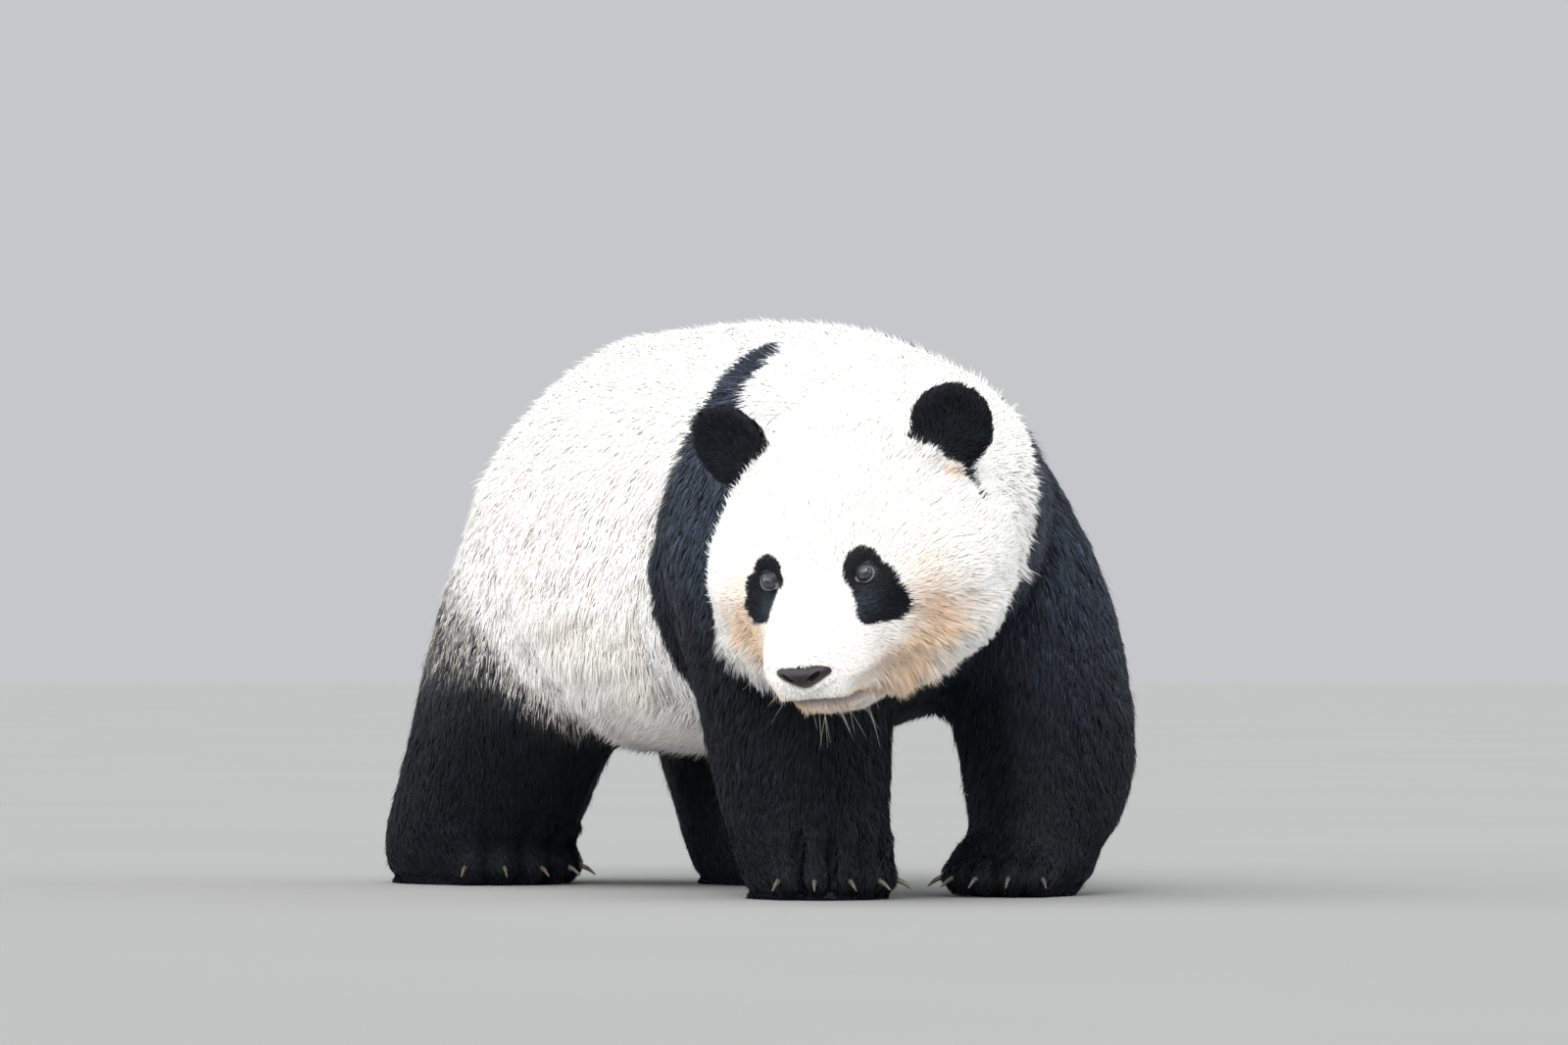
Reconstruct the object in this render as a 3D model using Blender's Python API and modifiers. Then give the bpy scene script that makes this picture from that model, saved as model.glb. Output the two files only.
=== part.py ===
"""Giant panda, walking, as a still life-size model.

Metres, +Z up. The panda walks towards -Y with its head turned to its right, so
+X is its left side. The floor is z = 0, and the surfaces are those of the coat,
out to the tips of the fur. The whole animal is modelled first as one body, from
lofted forms that a voxel remesh joins and a smoothing blends. It is then parted
with thin curved and flat cuts into the pieces that a person would name.
"""

import math

import bmesh
import bpy
import numpy as np
from mathutils import Matrix, Vector

# ---------------------------------------------------------------- driving sizes
BACK_HEIGHT = 0.72  # floor to the top of the back, which the rows below are drawn for
CUT_GAP = 0.0004  # left between two pieces that meet
RING_SIDES = 40  # points round each lofted ring of the body
VOXEL = 0.0085  # remesh size that joins the forms
THIN_SHARE = 0.086  # of the remeshed triangles kept all over
BODY_SHARE = 0.35  # of those, kept when the body is thinned further

# ------------------------------------------------------------------------ pose
HEAD_CENTRE = Vector((-0.210, -0.580, 0.4155))
HEAD_YAW = math.radians(57)  # to the panda's right of its walking direction
HEAD_PITCH = math.radians(23)  # nose down
HEAD_ROLL = math.radians(4.5)  # left ear up

# --------------------------------------- features, in the head's own frame, left
EYE_RADIUS = 0.0125
EYE_PLACE = Vector((0.0640, 0.1180, 0.0140))
EYE_HOLLOW_RADIUS = 0.034
EYE_HOLLOW_DEPTH = 0.007
EAR_PLACE = Vector((0.1450, -0.0230, 0.1390))  # middle of the ear's disc
EAR_RADIUS = 0.0525
EAR_THICKNESS = 0.024
EAR_CUP = 0.016  # depth of its hollow
EAR_TURN = math.radians(8)  # its face, outward from straight ahead
EAR_LEAN = math.radians(38)  # its tip, outward from upright
NOSE_PLACE = Vector((0.0, 0.2040, -0.0660))
NOSE_RADII = Vector((0.0400, 0.0220, 0.0240))

# ------------------------------------------- paws: place on the floor and heading
TOES = 5
PAWS = {
    "forepaw_right": ((-0.152, -0.385), math.radians(8), 0.078),
    "forepaw_left": ((0.125, -0.425), math.radians(68), 0.072),
    "hindpaw_right": ((-0.155, 0.400), math.radians(-4), 0.094),
    "hindpaw_left": ((0.151, 0.180), math.radians(4), 0.088),
}
TOE_FAN = math.radians(96)  # from the first toe to the last
CLAW_LENGTH = 0.034
CLAW_RADIUS = 0.0055

COLOURS = {
    "white": (0.86, 0.83, 0.76, 1.0),
    "black": (0.022, 0.023, 0.027, 1.0),
    "nose": (0.03, 0.027, 0.027, 1.0),
    "eye": (0.02, 0.014, 0.01, 1.0),
    "claw": (0.09, 0.075, 0.06, 1.0),
}


def head_matrix():
    """The head's own frame: +X to the panda's left, +Y to its nose, +Z to its crown."""
    forward = Vector(
        (
            -math.sin(HEAD_YAW) * math.cos(HEAD_PITCH),
            -math.cos(HEAD_YAW) * math.cos(HEAD_PITCH),
            -math.sin(HEAD_PITCH),
        )
    )
    level_left = Vector((math.cos(HEAD_YAW), -math.sin(HEAD_YAW), 0.0))
    level_up = forward.cross(level_left)
    if level_up.z < 0:
        level_up.negate()
    left = level_left * math.cos(HEAD_ROLL) + level_up * math.sin(HEAD_ROLL)
    up = level_up * math.cos(HEAD_ROLL) - level_left * math.sin(HEAD_ROLL)
    frame = Matrix((left, forward, up)).transposed().to_4x4()
    return Matrix.Translation(HEAD_CENTRE) @ frame


HEAD = head_matrix()


# ----------------------------------------------------------------- form makers
def link_mesh(name, mesh, collection):
    made = bpy.data.objects.new(name, mesh)
    collection.objects.link(made)
    return made


def spline_rows(rows, steps=5):
    """A Catmull-Rom curve through the rows of a table of stations."""
    table = np.array(rows, float)
    padded = np.vstack([2 * table[0] - table[1], table, 2 * table[-1] - table[-2]])
    smooth = []
    for i in range(1, len(table)):
        before, start, end, after = padded[i - 1 : i + 3]
        for t in np.linspace(0, 1, steps, endpoint=False):
            smooth.append(
                0.5
                * (
                    2 * start
                    + (end - before) * t
                    + (2 * before - 5 * start + 4 * end - after) * t**2
                    + (3 * start - before - 3 * end + after) * t**3
                )
            )
    smooth.append(table[-1])
    return np.array(smooth)


def ring_points(centre, across, upward, half_width, rise, drop, power, sides=RING_SIDES):
    """A rounded ring: a superellipse whose upper and lower halves differ in height."""
    turns = np.linspace(0, 2 * math.pi, sides, endpoint=False)
    cosine, sine = np.cos(turns), np.sin(turns)
    side = np.sign(cosine) * np.abs(cosine) ** (2 / power) * half_width
    lift = np.sign(sine) * np.abs(sine) ** (2 / power)
    lift = lift * np.where(sine > 0, rise, drop)
    return (
        np.array(centre)[None, :]
        + side[:, None] * np.array(across)[None, :]
        + lift[:, None] * np.array(upward)[None, :]
    )


def loft(rings):
    """A closed mesh through rings of points, with a flat cap at each end."""
    form = bmesh.new()
    loops = [[form.verts.new(point) for point in ring] for ring in rings]
    sides = len(loops[0])
    for near, far in zip(loops, loops[1:]):
        for i in range(sides):
            j = (i + 1) % sides
            form.faces.new((near[i], near[j], far[j], far[i]))
    form.faces.new(loops[0])
    form.faces.new(loops[-1])
    return form


def finish_form(form, name, collection, matrix=None):
    if matrix is not None:
        bmesh.ops.transform(form, matrix=matrix, verts=form.verts)
    bmesh.ops.recalc_face_normals(form, faces=form.faces)
    mesh = bpy.data.meshes.new(name)
    form.to_mesh(mesh)
    form.free()
    return link_mesh(name, mesh, collection)


def trunk_form(name, rows, collection, matrix=None):
    """Rows of y, centre x, top z, bottom z, half width, height of the widest, power."""
    rings = []
    for y, x, top, bottom, half_width, middle, power in spline_rows(rows):
        rings.append(
            ring_points(
                (x, y, middle),
                (1, 0, 0),
                (0, 0, 1),
                half_width,
                top - middle,
                middle - bottom,
                power,
            )
        )
    return finish_form(loft(rings), name, collection, matrix)


def leg_form(name, rows, collection, matrix=None):
    """Level rings, in rows of z, centre x, centre y, half width, front, back, power."""
    rings = []
    for z, x, y, half_width, front, back, power in spline_rows(rows):
        rings.append(
            ring_points((x, y, z), (1, 0, 0), (0, -1, 0), half_width, front, back, power)
        )
    return finish_form(loft(rings), name, collection, matrix)


def tube_form(name, rows, collection, matrix=None):
    """Rings square to their path, in rows of x, y, z, half width, half height."""
    table = spline_rows(rows)
    path = table[:, :3]
    along = np.gradient(path, axis=0)
    rings = []
    for point, direction, (half_width, half_height) in zip(path, along, table[:, 3:]):
        forward = Vector(direction).normalized()
        across = forward.cross(Vector((0, 0, 1))).normalized()
        upward = across.cross(forward)
        rings.append(
            ring_points(point, across, upward, half_width, half_height, half_height, 2)
        )
    return finish_form(loft(rings), name, collection, matrix)


def ball_form(name, centre, radii, collection, matrix=None, turn=None, segments=32):
    """An ellipsoid, from a UV sphere."""
    form = bmesh.new()
    bmesh.ops.create_uvsphere(form, u_segments=segments, v_segments=segments // 2, radius=1)
    place = Matrix.Translation(centre) @ (turn or Matrix()) @ Matrix.Diagonal((*radii, 1))
    bmesh.ops.transform(form, matrix=place, verts=form.verts)
    return finish_form(form, name, collection, matrix)


# ---------------------------------------------------------------- body's forms
def trunk_forms(forms):
    trunk_form(
        "trunk_form",
        [
            (0.568, 0.000, 0.400, 0.330, 0.040, 0.360, 2.0),
            (0.548, 0.000, 0.450, 0.285, 0.092, 0.365, 2.0),
            (0.505, 0.000, 0.528, 0.240, 0.146, 0.375, 2.0),
            (0.430, 0.000, 0.600, 0.210, 0.182, 0.385, 2.1),
            (0.330, 0.000, 0.660, 0.192, 0.229, 0.390, 2.1),
            (0.190, 0.000, 0.712, 0.178, 0.258, 0.395, 2.15),
            (0.040, 0.000, 0.722, 0.172, 0.264, 0.400, 2.2),
            (-0.110, 0.000, 0.716, 0.182, 0.258, 0.410, 2.2),
            (-0.220, 0.000, 0.704, 0.200, 0.245, 0.420, 2.2),
            (-0.320, 0.000, 0.676, 0.230, 0.200, 0.440, 2.2),
            (-0.400, -0.010, 0.630, 0.265, 0.155, 0.450, 2.1),
            (-0.460, -0.015, 0.580, 0.330, 0.110, 0.450, 2.0),
        ],
        forms,
    )
    tube_form(
        "neck_form",
        [
            (0.040, -0.140, 0.500, 0.185, 0.185),
            (0.028, -0.280, 0.485, 0.185, 0.192),
            (-0.035, -0.390, 0.468, 0.186, 0.182),
            (-0.100, -0.470, 0.460, 0.180, 0.168),
            (-0.165, -0.535, 0.445, 0.168, 0.152),
        ],
        forms,
    )
    tube_form(
        "tail_form",
        [
            (0.000, 0.500, 0.450, 0.055, 0.050),
            (0.000, 0.556, 0.412, 0.056, 0.046),
            (0.000, 0.584, 0.352, 0.052, 0.038),
            (0.000, 0.590, 0.300, 0.038, 0.028),
            (0.000, 0.588, 0.272, 0.016, 0.014),
        ],
        forms,
    )


def head_forms(forms):
    """The head's forms, in its own frame: rows run from its back to its nose."""
    trunk_form(
        "skull_form",
        [
            (-0.170, 0.0, 0.085, -0.100, 0.120, -0.010, 2.0),
            (-0.120, 0.0, 0.130, -0.118, 0.160, -0.015, 2.0),
            (-0.050, 0.0, 0.154, -0.136, 0.188, -0.030, 2.05),
            (0.010, 0.0, 0.152, -0.150, 0.197, -0.042, 2.05),
            (0.055, 0.0, 0.134, -0.154, 0.190, -0.048, 2.1),
            (0.090, 0.0, 0.102, -0.148, 0.164, -0.052, 2.15),
            (0.120, 0.0, 0.054, -0.136, 0.122, -0.055, 2.1),
            (0.142, 0.0, 0.006, -0.110, 0.066, -0.058, 2.0),
        ],
        forms,
        HEAD,
    )
    trunk_form(
        "muzzle_form",
        [
            (0.040, 0.0, 0.030, -0.140, 0.100, -0.060, 2.1),
            (0.095, 0.0, 0.038, -0.146, 0.088, -0.060, 2.2),
            (0.140, 0.0, 0.014, -0.148, 0.078, -0.066, 2.3),
            (0.175, 0.0, -0.008, -0.142, 0.070, -0.074, 2.4),
            (0.200, 0.0, -0.026, -0.128, 0.059, -0.078, 2.4),
            (0.216, 0.0, -0.044, -0.106, 0.040, -0.076, 2.2),
        ],
        forms,
        HEAD,
    )
    ball_form("cheek_right_form", (-0.122, 0.018, -0.070), (0.077, 0.082, 0.082), forms, HEAD)
    ball_form("cheek_left_form", (0.115, 0.020, -0.060), (0.073, 0.082, 0.074), forms, HEAD)
    ball_form("face_form", (0.0, 0.060, -0.062), (0.140, 0.082, 0.086), forms, HEAD)


def foreleg_forms(forms):
    leg_form(
        "foreleg_right_form",
        [
            (0.640, -0.105, -0.185, 0.055, 0.060, 0.060, 2.0),
            (0.560, -0.130, -0.205, 0.095, 0.105, 0.110, 2.0),
            (0.460, -0.145, -0.245, 0.118, 0.145, 0.135, 2.1),
            (0.360, -0.153, -0.295, 0.124, 0.145, 0.130, 2.1),
            (0.270, -0.155, -0.337, 0.122, 0.132, 0.125, 2.1),
            (0.190, -0.155, -0.353, 0.115, 0.120, 0.115, 2.1),
            (0.120, -0.155, -0.366, 0.103, 0.108, 0.100, 2.1),
            (0.060, -0.154, -0.378, 0.093, 0.102, 0.092, 2.2),
            (0.020, -0.152, -0.386, 0.086, 0.098, 0.086, 2.2),
            (-0.020, -0.152, -0.386, 0.074, 0.084, 0.074, 2.2),
        ],
        forms,
    )
    leg_form(
        "foreleg_left_form",
        [
            (0.655, 0.115, -0.195, 0.050, 0.060, 0.060, 2.0),
            (0.570, 0.148, -0.215, 0.102, 0.110, 0.115, 2.0),
            (0.460, 0.172, -0.245, 0.128, 0.145, 0.140, 2.1),
            (0.360, 0.190, -0.290, 0.128, 0.145, 0.130, 2.1),
            (0.270, 0.200, -0.330, 0.122, 0.125, 0.120, 2.1),
            (0.190, 0.202, -0.360, 0.114, 0.110, 0.108, 2.1),
            (0.130, 0.192, -0.380, 0.105, 0.102, 0.100, 2.1),
            (0.080, 0.170, -0.400, 0.090, 0.090, 0.085, 2.1),
            (0.050, 0.150, -0.410, 0.070, 0.075, 0.065, 2.0),
        ],
        forms,
    )
    tube_form(
        "forepaw_left_form",
        [
            (0.200, -0.385, 0.085, 0.070, 0.062),
            (0.172, -0.395, 0.066, 0.084, 0.068),
            (0.134, -0.412, 0.044, 0.088, 0.058),
            (0.098, -0.426, 0.036, 0.080, 0.050),
            (0.072, -0.436, 0.034, 0.060, 0.040),
        ],
        forms,
    )


def hindleg_forms(forms):
    leg_form(
        "hindleg_right_form",
        [
            (0.560, -0.100, 0.270, 0.050, 0.060, 0.060, 2.0),
            (0.500, -0.125, 0.275, 0.090, 0.110, 0.105, 2.0),
            (0.400, -0.145, 0.290, 0.108, 0.150, 0.130, 2.1),
            (0.300, -0.152, 0.310, 0.118, 0.170, 0.150, 2.1),
            (0.200, -0.154, 0.335, 0.120, 0.172, 0.168, 2.1),
            (0.125, -0.154, 0.385, 0.118, 0.155, 0.155, 2.1),
            (0.060, -0.155, 0.430, 0.114, 0.145, 0.125, 2.2),
            (0.020, -0.155, 0.442, 0.106, 0.140, 0.112, 2.2),
            (-0.020, -0.154, 0.442, 0.090, 0.122, 0.096, 2.2),
        ],
        forms,
    )
    leg_form(
        "hindleg_left_form",
        [
            (0.560, 0.100, 0.250, 0.050, 0.060, 0.060, 2.0),
            (0.500, 0.125, 0.255, 0.090, 0.110, 0.105, 2.0),
            (0.400, 0.145, 0.265, 0.108, 0.150, 0.130, 2.1),
            (0.300, 0.152, 0.265, 0.118, 0.165, 0.150, 2.1),
            (0.200, 0.154, 0.255, 0.116, 0.155, 0.155, 2.1),
            (0.125, 0.154, 0.235, 0.108, 0.140, 0.135, 2.1),
            (0.060, 0.152, 0.215, 0.102, 0.135, 0.115, 2.2),
            (0.020, 0.150, 0.205, 0.094, 0.130, 0.100, 2.2),
            (-0.020, 0.150, 0.205, 0.080, 0.112, 0.084, 2.2),
        ],
        forms,
    )


def toe_places(paw):
    """Each toe's middle on the floor and its heading, from the inner toe out."""
    (x, y), heading, reach = PAWS[paw]
    for turn in np.linspace(-TOE_FAN / 2, TOE_FAN / 2, TOES):
        bearing = heading + turn
        forward = Vector((-math.sin(bearing), -math.cos(bearing), 0.0))
        yield Vector((x, y, 0.0)) + forward * reach, bearing


def toe_forms(forms):
    for paw in PAWS:
        for place, bearing in toe_places(paw):
            turn = Matrix.Rotation(-bearing, 4, "Z")
            place.z = 0.026
            ball_form("toe_form", place, (0.0215, 0.0300, 0.0270), forms, turn=turn)


# ------------------------------------------------------------ one blended body
def settled_mesh(made):
    """The object's mesh as its modifiers leave it."""
    bpy.context.view_layer.update()
    graph = bpy.context.evaluated_depsgraph_get()
    return bpy.data.meshes.new_from_object(made.evaluated_get(graph))


def joined_forms(forms, collection):
    """All forms in one object, remeshed to one closed surface."""
    joined = bmesh.new()
    for form in forms.objects:
        joined.from_mesh(form.data)
    whole = finish_form(joined, "whole", collection)
    remesh = whole.modifiers.new("join", "REMESH")
    remesh.mode = "VOXEL"
    remesh.voxel_size = VOXEL
    whole.data = settled_mesh(whole)
    whole.modifiers.clear()
    return whole


def points_of(mesh):
    points = np.empty(len(mesh.vertices) * 3)
    mesh.vertices.foreach_get("co", points)
    return points.reshape(-1, 3)


def in_head_frame(points):
    turn = np.array(HEAD.inverted())
    return points @ turn[:3, :3].T + turn[:3, 3]


def out_of_head_frame(points):
    turn = np.array(HEAD)
    return points @ turn[:3, :3].T + turn[:3, 3]


def fade(values, low, high):
    """0 at low, 1 at high, with a soft step between them."""
    share = np.clip((values - low) / (high - low), 0, 1)
    return share * share * (3 - 2 * share)


def face_share(points):
    """1 on the face, 0 on the rest of the body."""
    local = in_head_frame(points)
    distance = np.linalg.norm(local - np.array((0, 0.08, -0.02)), axis=1)
    return (1 - fade(distance, 0.15, 0.22)) * fade(local[:, 1], -0.06, 0.02)


def relax(points, edges, rounds, share):
    """Laplacian smoothing, whose strength is given point by point."""
    counts = np.bincount(edges.ravel(), minlength=len(points))[:, None]
    for _ in range(rounds):
        sums = np.zeros_like(points)
        np.add.at(sums, edges[:, 0], points[edges[:, 1]])
        np.add.at(sums, edges[:, 1], points[edges[:, 0]])
        points = points + (sums / counts - points) * share[:, None]
    return points


def eye_hollows(points):
    """Presses a shallow dish into the face round each eye."""
    local = in_head_frame(points)
    for side in (-1, 1):
        eye = np.array(EYE_PLACE) * (side, 1, 1)
        offset = local - eye
        reach = np.hypot(offset[:, 0], offset[:, 2]) / EYE_HOLLOW_RADIUS
        near = (np.abs(offset[:, 1]) < 2 * EYE_HOLLOW_RADIUS) & (reach < 1)
        local[near, 1] -= EYE_HOLLOW_DEPTH * (1 - reach[near] ** 2) ** 2
    return out_of_head_frame(local)


def shape_body(whole):
    """Smooths the folds between the forms, least on the face and the toes."""
    mesh = whole.data
    edges = np.empty(len(mesh.edges) * 2, int)
    mesh.edges.foreach_get("vertices", edges)
    edges = edges.reshape(-1, 2)
    points = points_of(mesh)
    toes = 1 - fade(points[:, 2], 0.05, 0.12)
    soft = 1 - np.maximum(face_share(points), toes)
    points = relax(points, edges, 4, np.full(len(points), 0.5))
    points = relax(points, edges, 16, 0.5 * soft)
    points = eye_hollows(points)
    mesh.vertices.foreach_set("co", points.ravel())
    group = whole.vertex_groups.new(name="plain")
    for index, share in enumerate(1 - face_share(points)):
        if share > 0.01:
            group.add([index], share, "REPLACE")
    whole.modifiers.new("thin", "DECIMATE").ratio = THIN_SHARE
    thin_body = whole.modifiers.new("thin_body", "DECIMATE")
    thin_body.ratio = BODY_SHARE
    thin_body.vertex_group = "plain"
    whole.data = settled_mesh(whole)
    whole.modifiers.clear()


# --------------------------------------------------------------------- cutters
def box_cutter(name, cutters, centre, half, turn=None, grow=0.0):
    form = bmesh.new()
    bmesh.ops.create_cube(form, size=2)
    sizes = Matrix.Diagonal((*(length + grow for length in half), 1))
    place = Matrix.Translation(centre) @ (turn or Matrix()) @ sizes
    bmesh.ops.transform(form, matrix=place, verts=form.verts)
    return finish_form(form, name, cutters)


def ball_cutter(name, cutters, centre, half, grow=0.0):
    form = bmesh.new()
    bmesh.ops.create_icosphere(form, subdivisions=2, radius=1)
    sizes = Matrix.Diagonal((*(length + grow for length in half), 1))
    bmesh.ops.transform(form, matrix=Matrix.Translation(centre) @ sizes, verts=form.verts)
    return finish_form(form, name, cutters)


def cut(target, cutter, operation):
    boolean = target.modifiers.new("cut", "BOOLEAN")
    boolean.operation = operation
    boolean.object = cutter
    target.data = settled_mesh(target)
    target.modifiers.clear()


def main_body_only(target):
    """Drops the slivers that a cut leaves loose beside the piece."""
    form = bmesh.new()
    form.from_mesh(target.data)
    left = set(form.verts)
    bodies = []
    while left:
        queue = [left.pop()]
        body = set(queue)
        while queue:
            for edge in queue.pop().link_edges:
                for vert in edge.verts:
                    if vert in left:
                        left.discard(vert)
                        body.add(vert)
                        queue.append(vert)
        bodies.append(body)
    bodies.sort(key=len)
    for body in bodies[:-1]:
        bmesh.ops.delete(form, geom=list(body), context="VERTS")
    form.to_mesh(target.data)
    form.free()


def part_off(whole, name, maker, cutters, **sizes):
    """Takes one piece off the whole, and leaves a thin gap behind it."""
    piece = link_mesh(name, whole.data.copy(), whole.users_collection[0])
    cut(piece, maker(name + "_cut", cutters, **sizes), "INTERSECT")
    cut(whole, maker(name + "_gap", cutters, grow=CUT_GAP, **sizes), "DIFFERENCE")
    main_body_only(piece)
    return piece


def grown_copy(piece, cutters, distance=CUT_GAP):
    """A cutter that clears the piece by the gap on every side."""
    mesh = piece.data.copy()
    grown = link_mesh(piece.name + "_grown", mesh, cutters)
    for vertex, normal in zip(mesh.vertices, [v.normal.copy() for v in mesh.vertices]):
        vertex.co += normal * distance
    return grown


# ------------------------------------------------------------- parting the body
def part_legs(whole, cutters):
    pieces = {}
    reaches = {
        "forepaw_right": ((-0.165, -0.400, 0.030), (0.155, 0.160, 0.057)),
        "forepaw_left": ((0.155, -0.410, 0.030), (0.160, 0.160, 0.057)),
        "hindpaw_right": ((-0.165, 0.400, 0.030), (0.155, 0.230, 0.052)),
        "hindpaw_left": ((0.160, 0.180, 0.030), (0.155, 0.200, 0.052)),
        "foreleg_right_lower": ((-0.150, -0.370, 0.110), (0.180, 0.200, 0.075)),
        "foreleg_left_lower": ((0.185, -0.370, 0.110), (0.180, 0.200, 0.075)),
        "hindleg_right_lower": ((-0.170, 0.400, 0.110), (0.160, 0.250, 0.046)),
        "hindleg_left_lower": ((0.170, 0.210, 0.110), (0.160, 0.230, 0.046)),
    }
    for name, (centre, half) in reaches.items():
        pieces[name] = part_off(whole, name, box_cutter, cutters, centre=centre, half=half)
    uppers = {
        "foreleg_right_upper": ((-0.168, -0.310, 0.330), (0.166, 0.225, 0.280)),
        "foreleg_left_upper": ((0.200, -0.315, 0.330), (0.180, 0.225, 0.280)),
        "hindleg_right_upper": ((-0.165, 0.325, 0.280), (0.176, 0.265, 0.255)),
        "hindleg_left_upper": ((0.165, 0.265, 0.280), (0.176, 0.250, 0.255)),
    }
    for name, (centre, half) in uppers.items():
        pieces[name] = part_off(whole, name, ball_cutter, cutters, centre=centre, half=half)
    return pieces


def part_head_neck_tail(whole, cutters):
    pieces = {}
    head_turn = HEAD.to_3x3().to_4x4()
    pieces["head"] = part_off(
        whole,
        "head",
        box_cutter,
        cutters,
        centre=HEAD @ Vector((0.0, 0.110, -0.010)),
        half=(0.260, 0.175, 0.260),
        turn=head_turn,
    )
    neck_turn = Matrix.Rotation(math.radians(-14), 4, "Z") @ Matrix.Rotation(
        math.radians(14), 4, "X"
    )
    pieces["neck"] = part_off(
        whole,
        "neck",
        box_cutter,
        cutters,
        centre=(-0.100, -0.620, 0.440),
        half=(0.420, 0.240, 0.420),
        turn=neck_turn,
    )
    pieces["tail"] = part_off(
        whole,
        "tail",
        ball_cutter,
        cutters,
        centre=(0.0, 0.600, 0.345),
        half=(0.068, 0.066, 0.110),
    )
    return pieces


# ------------------------------------------------------ eyes, ears, nose, claws
def ear(side, collection):
    """A round disc with a cupped front."""
    form = bmesh.new()
    bmesh.ops.create_uvsphere(form, u_segments=16, v_segments=10, radius=1)
    for vertex in form.verts:
        x, y, z = vertex.co
        rim = min(1.0, math.hypot(x, z))
        front = max(0.0, y)
        vertex.co.y = y * EAR_THICKNESS / 2
        vertex.co.y -= EAR_CUP * (1 - rim * rim) * (0.35 + 0.65 * front)
        vertex.co.x = x * EAR_RADIUS
        vertex.co.z = z * EAR_RADIUS * 1.04
    place = EAR_PLACE * 1.0
    place.x *= side
    turn = Matrix.Rotation(-side * EAR_TURN, 4, "Z") @ Matrix.Rotation(side * EAR_LEAN, 4, "Y")
    bmesh.ops.transform(form, matrix=Matrix.Translation(place) @ turn, verts=form.verts)
    name = "ear_left" if side > 0 else "ear_right"
    return finish_form(form, name, collection, HEAD)


def claw(name, place, bearing, lift, collection):
    """A tapered hook, from inside the toe forward and down."""
    rings = []
    for t in (0.0, 0.6, 1.0):
        droop = math.radians(12 + 40 * t)
        ahead = CLAW_LENGTH * t * (1 - 0.12 * t)
        fall = CLAW_LENGTH * 0.42 * t * t
        radius = CLAW_RADIUS * (1 - 0.82 * t**1.5)
        centre = (0, ahead, -fall)
        upward = (0, math.sin(droop), math.cos(droop))
        rings.append(ring_points(centre, (1, 0, 0), upward, radius * 0.8, radius, radius, 2, 6))
    form = loft(rings)
    turn = Matrix.Rotation(math.pi - bearing, 4, "Z")
    bmesh.ops.transform(
        form,
        matrix=Matrix.Translation(place + Vector((0, 0, lift))) @ turn,
        verts=form.verts,
    )
    return finish_form(form, name, collection)


def add_face_pieces(pieces, collection, cutters):
    head = pieces["head"]
    for side, label in ((1, "left"), (-1, "right")):
        eye = EYE_PLACE * 1.0
        eye.x *= side
        socket = ball_form(
            "socket_" + label, eye, (EYE_RADIUS + CUT_GAP,) * 3, cutters, HEAD, segments=16
        )
        cut(head, socket, "DIFFERENCE")
        pieces["eye_" + label] = ball_form(
            "eye_" + label, eye, (EYE_RADIUS,) * 3, collection, HEAD, segments=16
        )
    grown = grown_copy(head, cutters)
    pieces["nose"] = ball_form("nose", NOSE_PLACE, NOSE_RADII, collection, HEAD, segments=16)
    cut(pieces["nose"], grown, "DIFFERENCE")
    grown_neck = grown_copy(pieces["neck"], cutters)
    for side, label in ((1, "left"), (-1, "right")):
        pieces["ear_" + label] = ear(side, collection)
        cut(pieces["ear_" + label], grown, "DIFFERENCE")
        cut(pieces["ear_" + label], grown_neck, "DIFFERENCE")
    for name in ("nose", "ear_left", "ear_right"):
        main_body_only(pieces[name])


def add_claws(pieces, collection, cutters):
    for paw in PAWS:
        grown = grown_copy(pieces[paw], cutters)
        for number, (place, bearing) in enumerate(toe_places(paw), 1):
            name = paw.replace("paw", "claw") + "_" + str(number)
            ahead = Vector((-math.sin(bearing), -math.cos(bearing), 0.0))
            pieces[name] = claw(name, place + ahead * 0.016, bearing, 0.026, collection)
            cut(pieces[name], grown, "DIFFERENCE")
            main_body_only(pieces[name])


# ------------------------------------------------------------------- materials
def material(name, colour, roughness):
    made = bpy.data.materials.new(name)
    made.use_nodes = True
    shader = made.node_tree.nodes["Principled BSDF"]
    shader.inputs["Base Color"].default_value = colour
    shader.inputs["Roughness"].default_value = roughness
    made.diffuse_color = colour
    return made


def finish_of(name):
    if name.startswith("eye"):
        return "eye", 0.08
    if name == "nose":
        return "nose", 0.45
    if "claw" in name:
        return "claw", 0.4
    if name in ("head", "neck", "trunk", "tail"):
        return "white", 0.85
    return "black", 0.85


def settle_on_floor(pieces):
    """Gives the model its exact height, and centres its box over the origin."""
    points = np.vstack([points_of(piece.data) for piece in pieces.values()])
    low, high = points.min(axis=0), points.max(axis=0)
    middle = (low + high) / 2
    scale = BACK_HEIGHT / high[2]
    move = Matrix.Translation((-middle[0], -middle[1], 0.0))
    for piece in pieces.values():
        piece.data.transform(Matrix.Scale(scale, 4) @ move)


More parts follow.
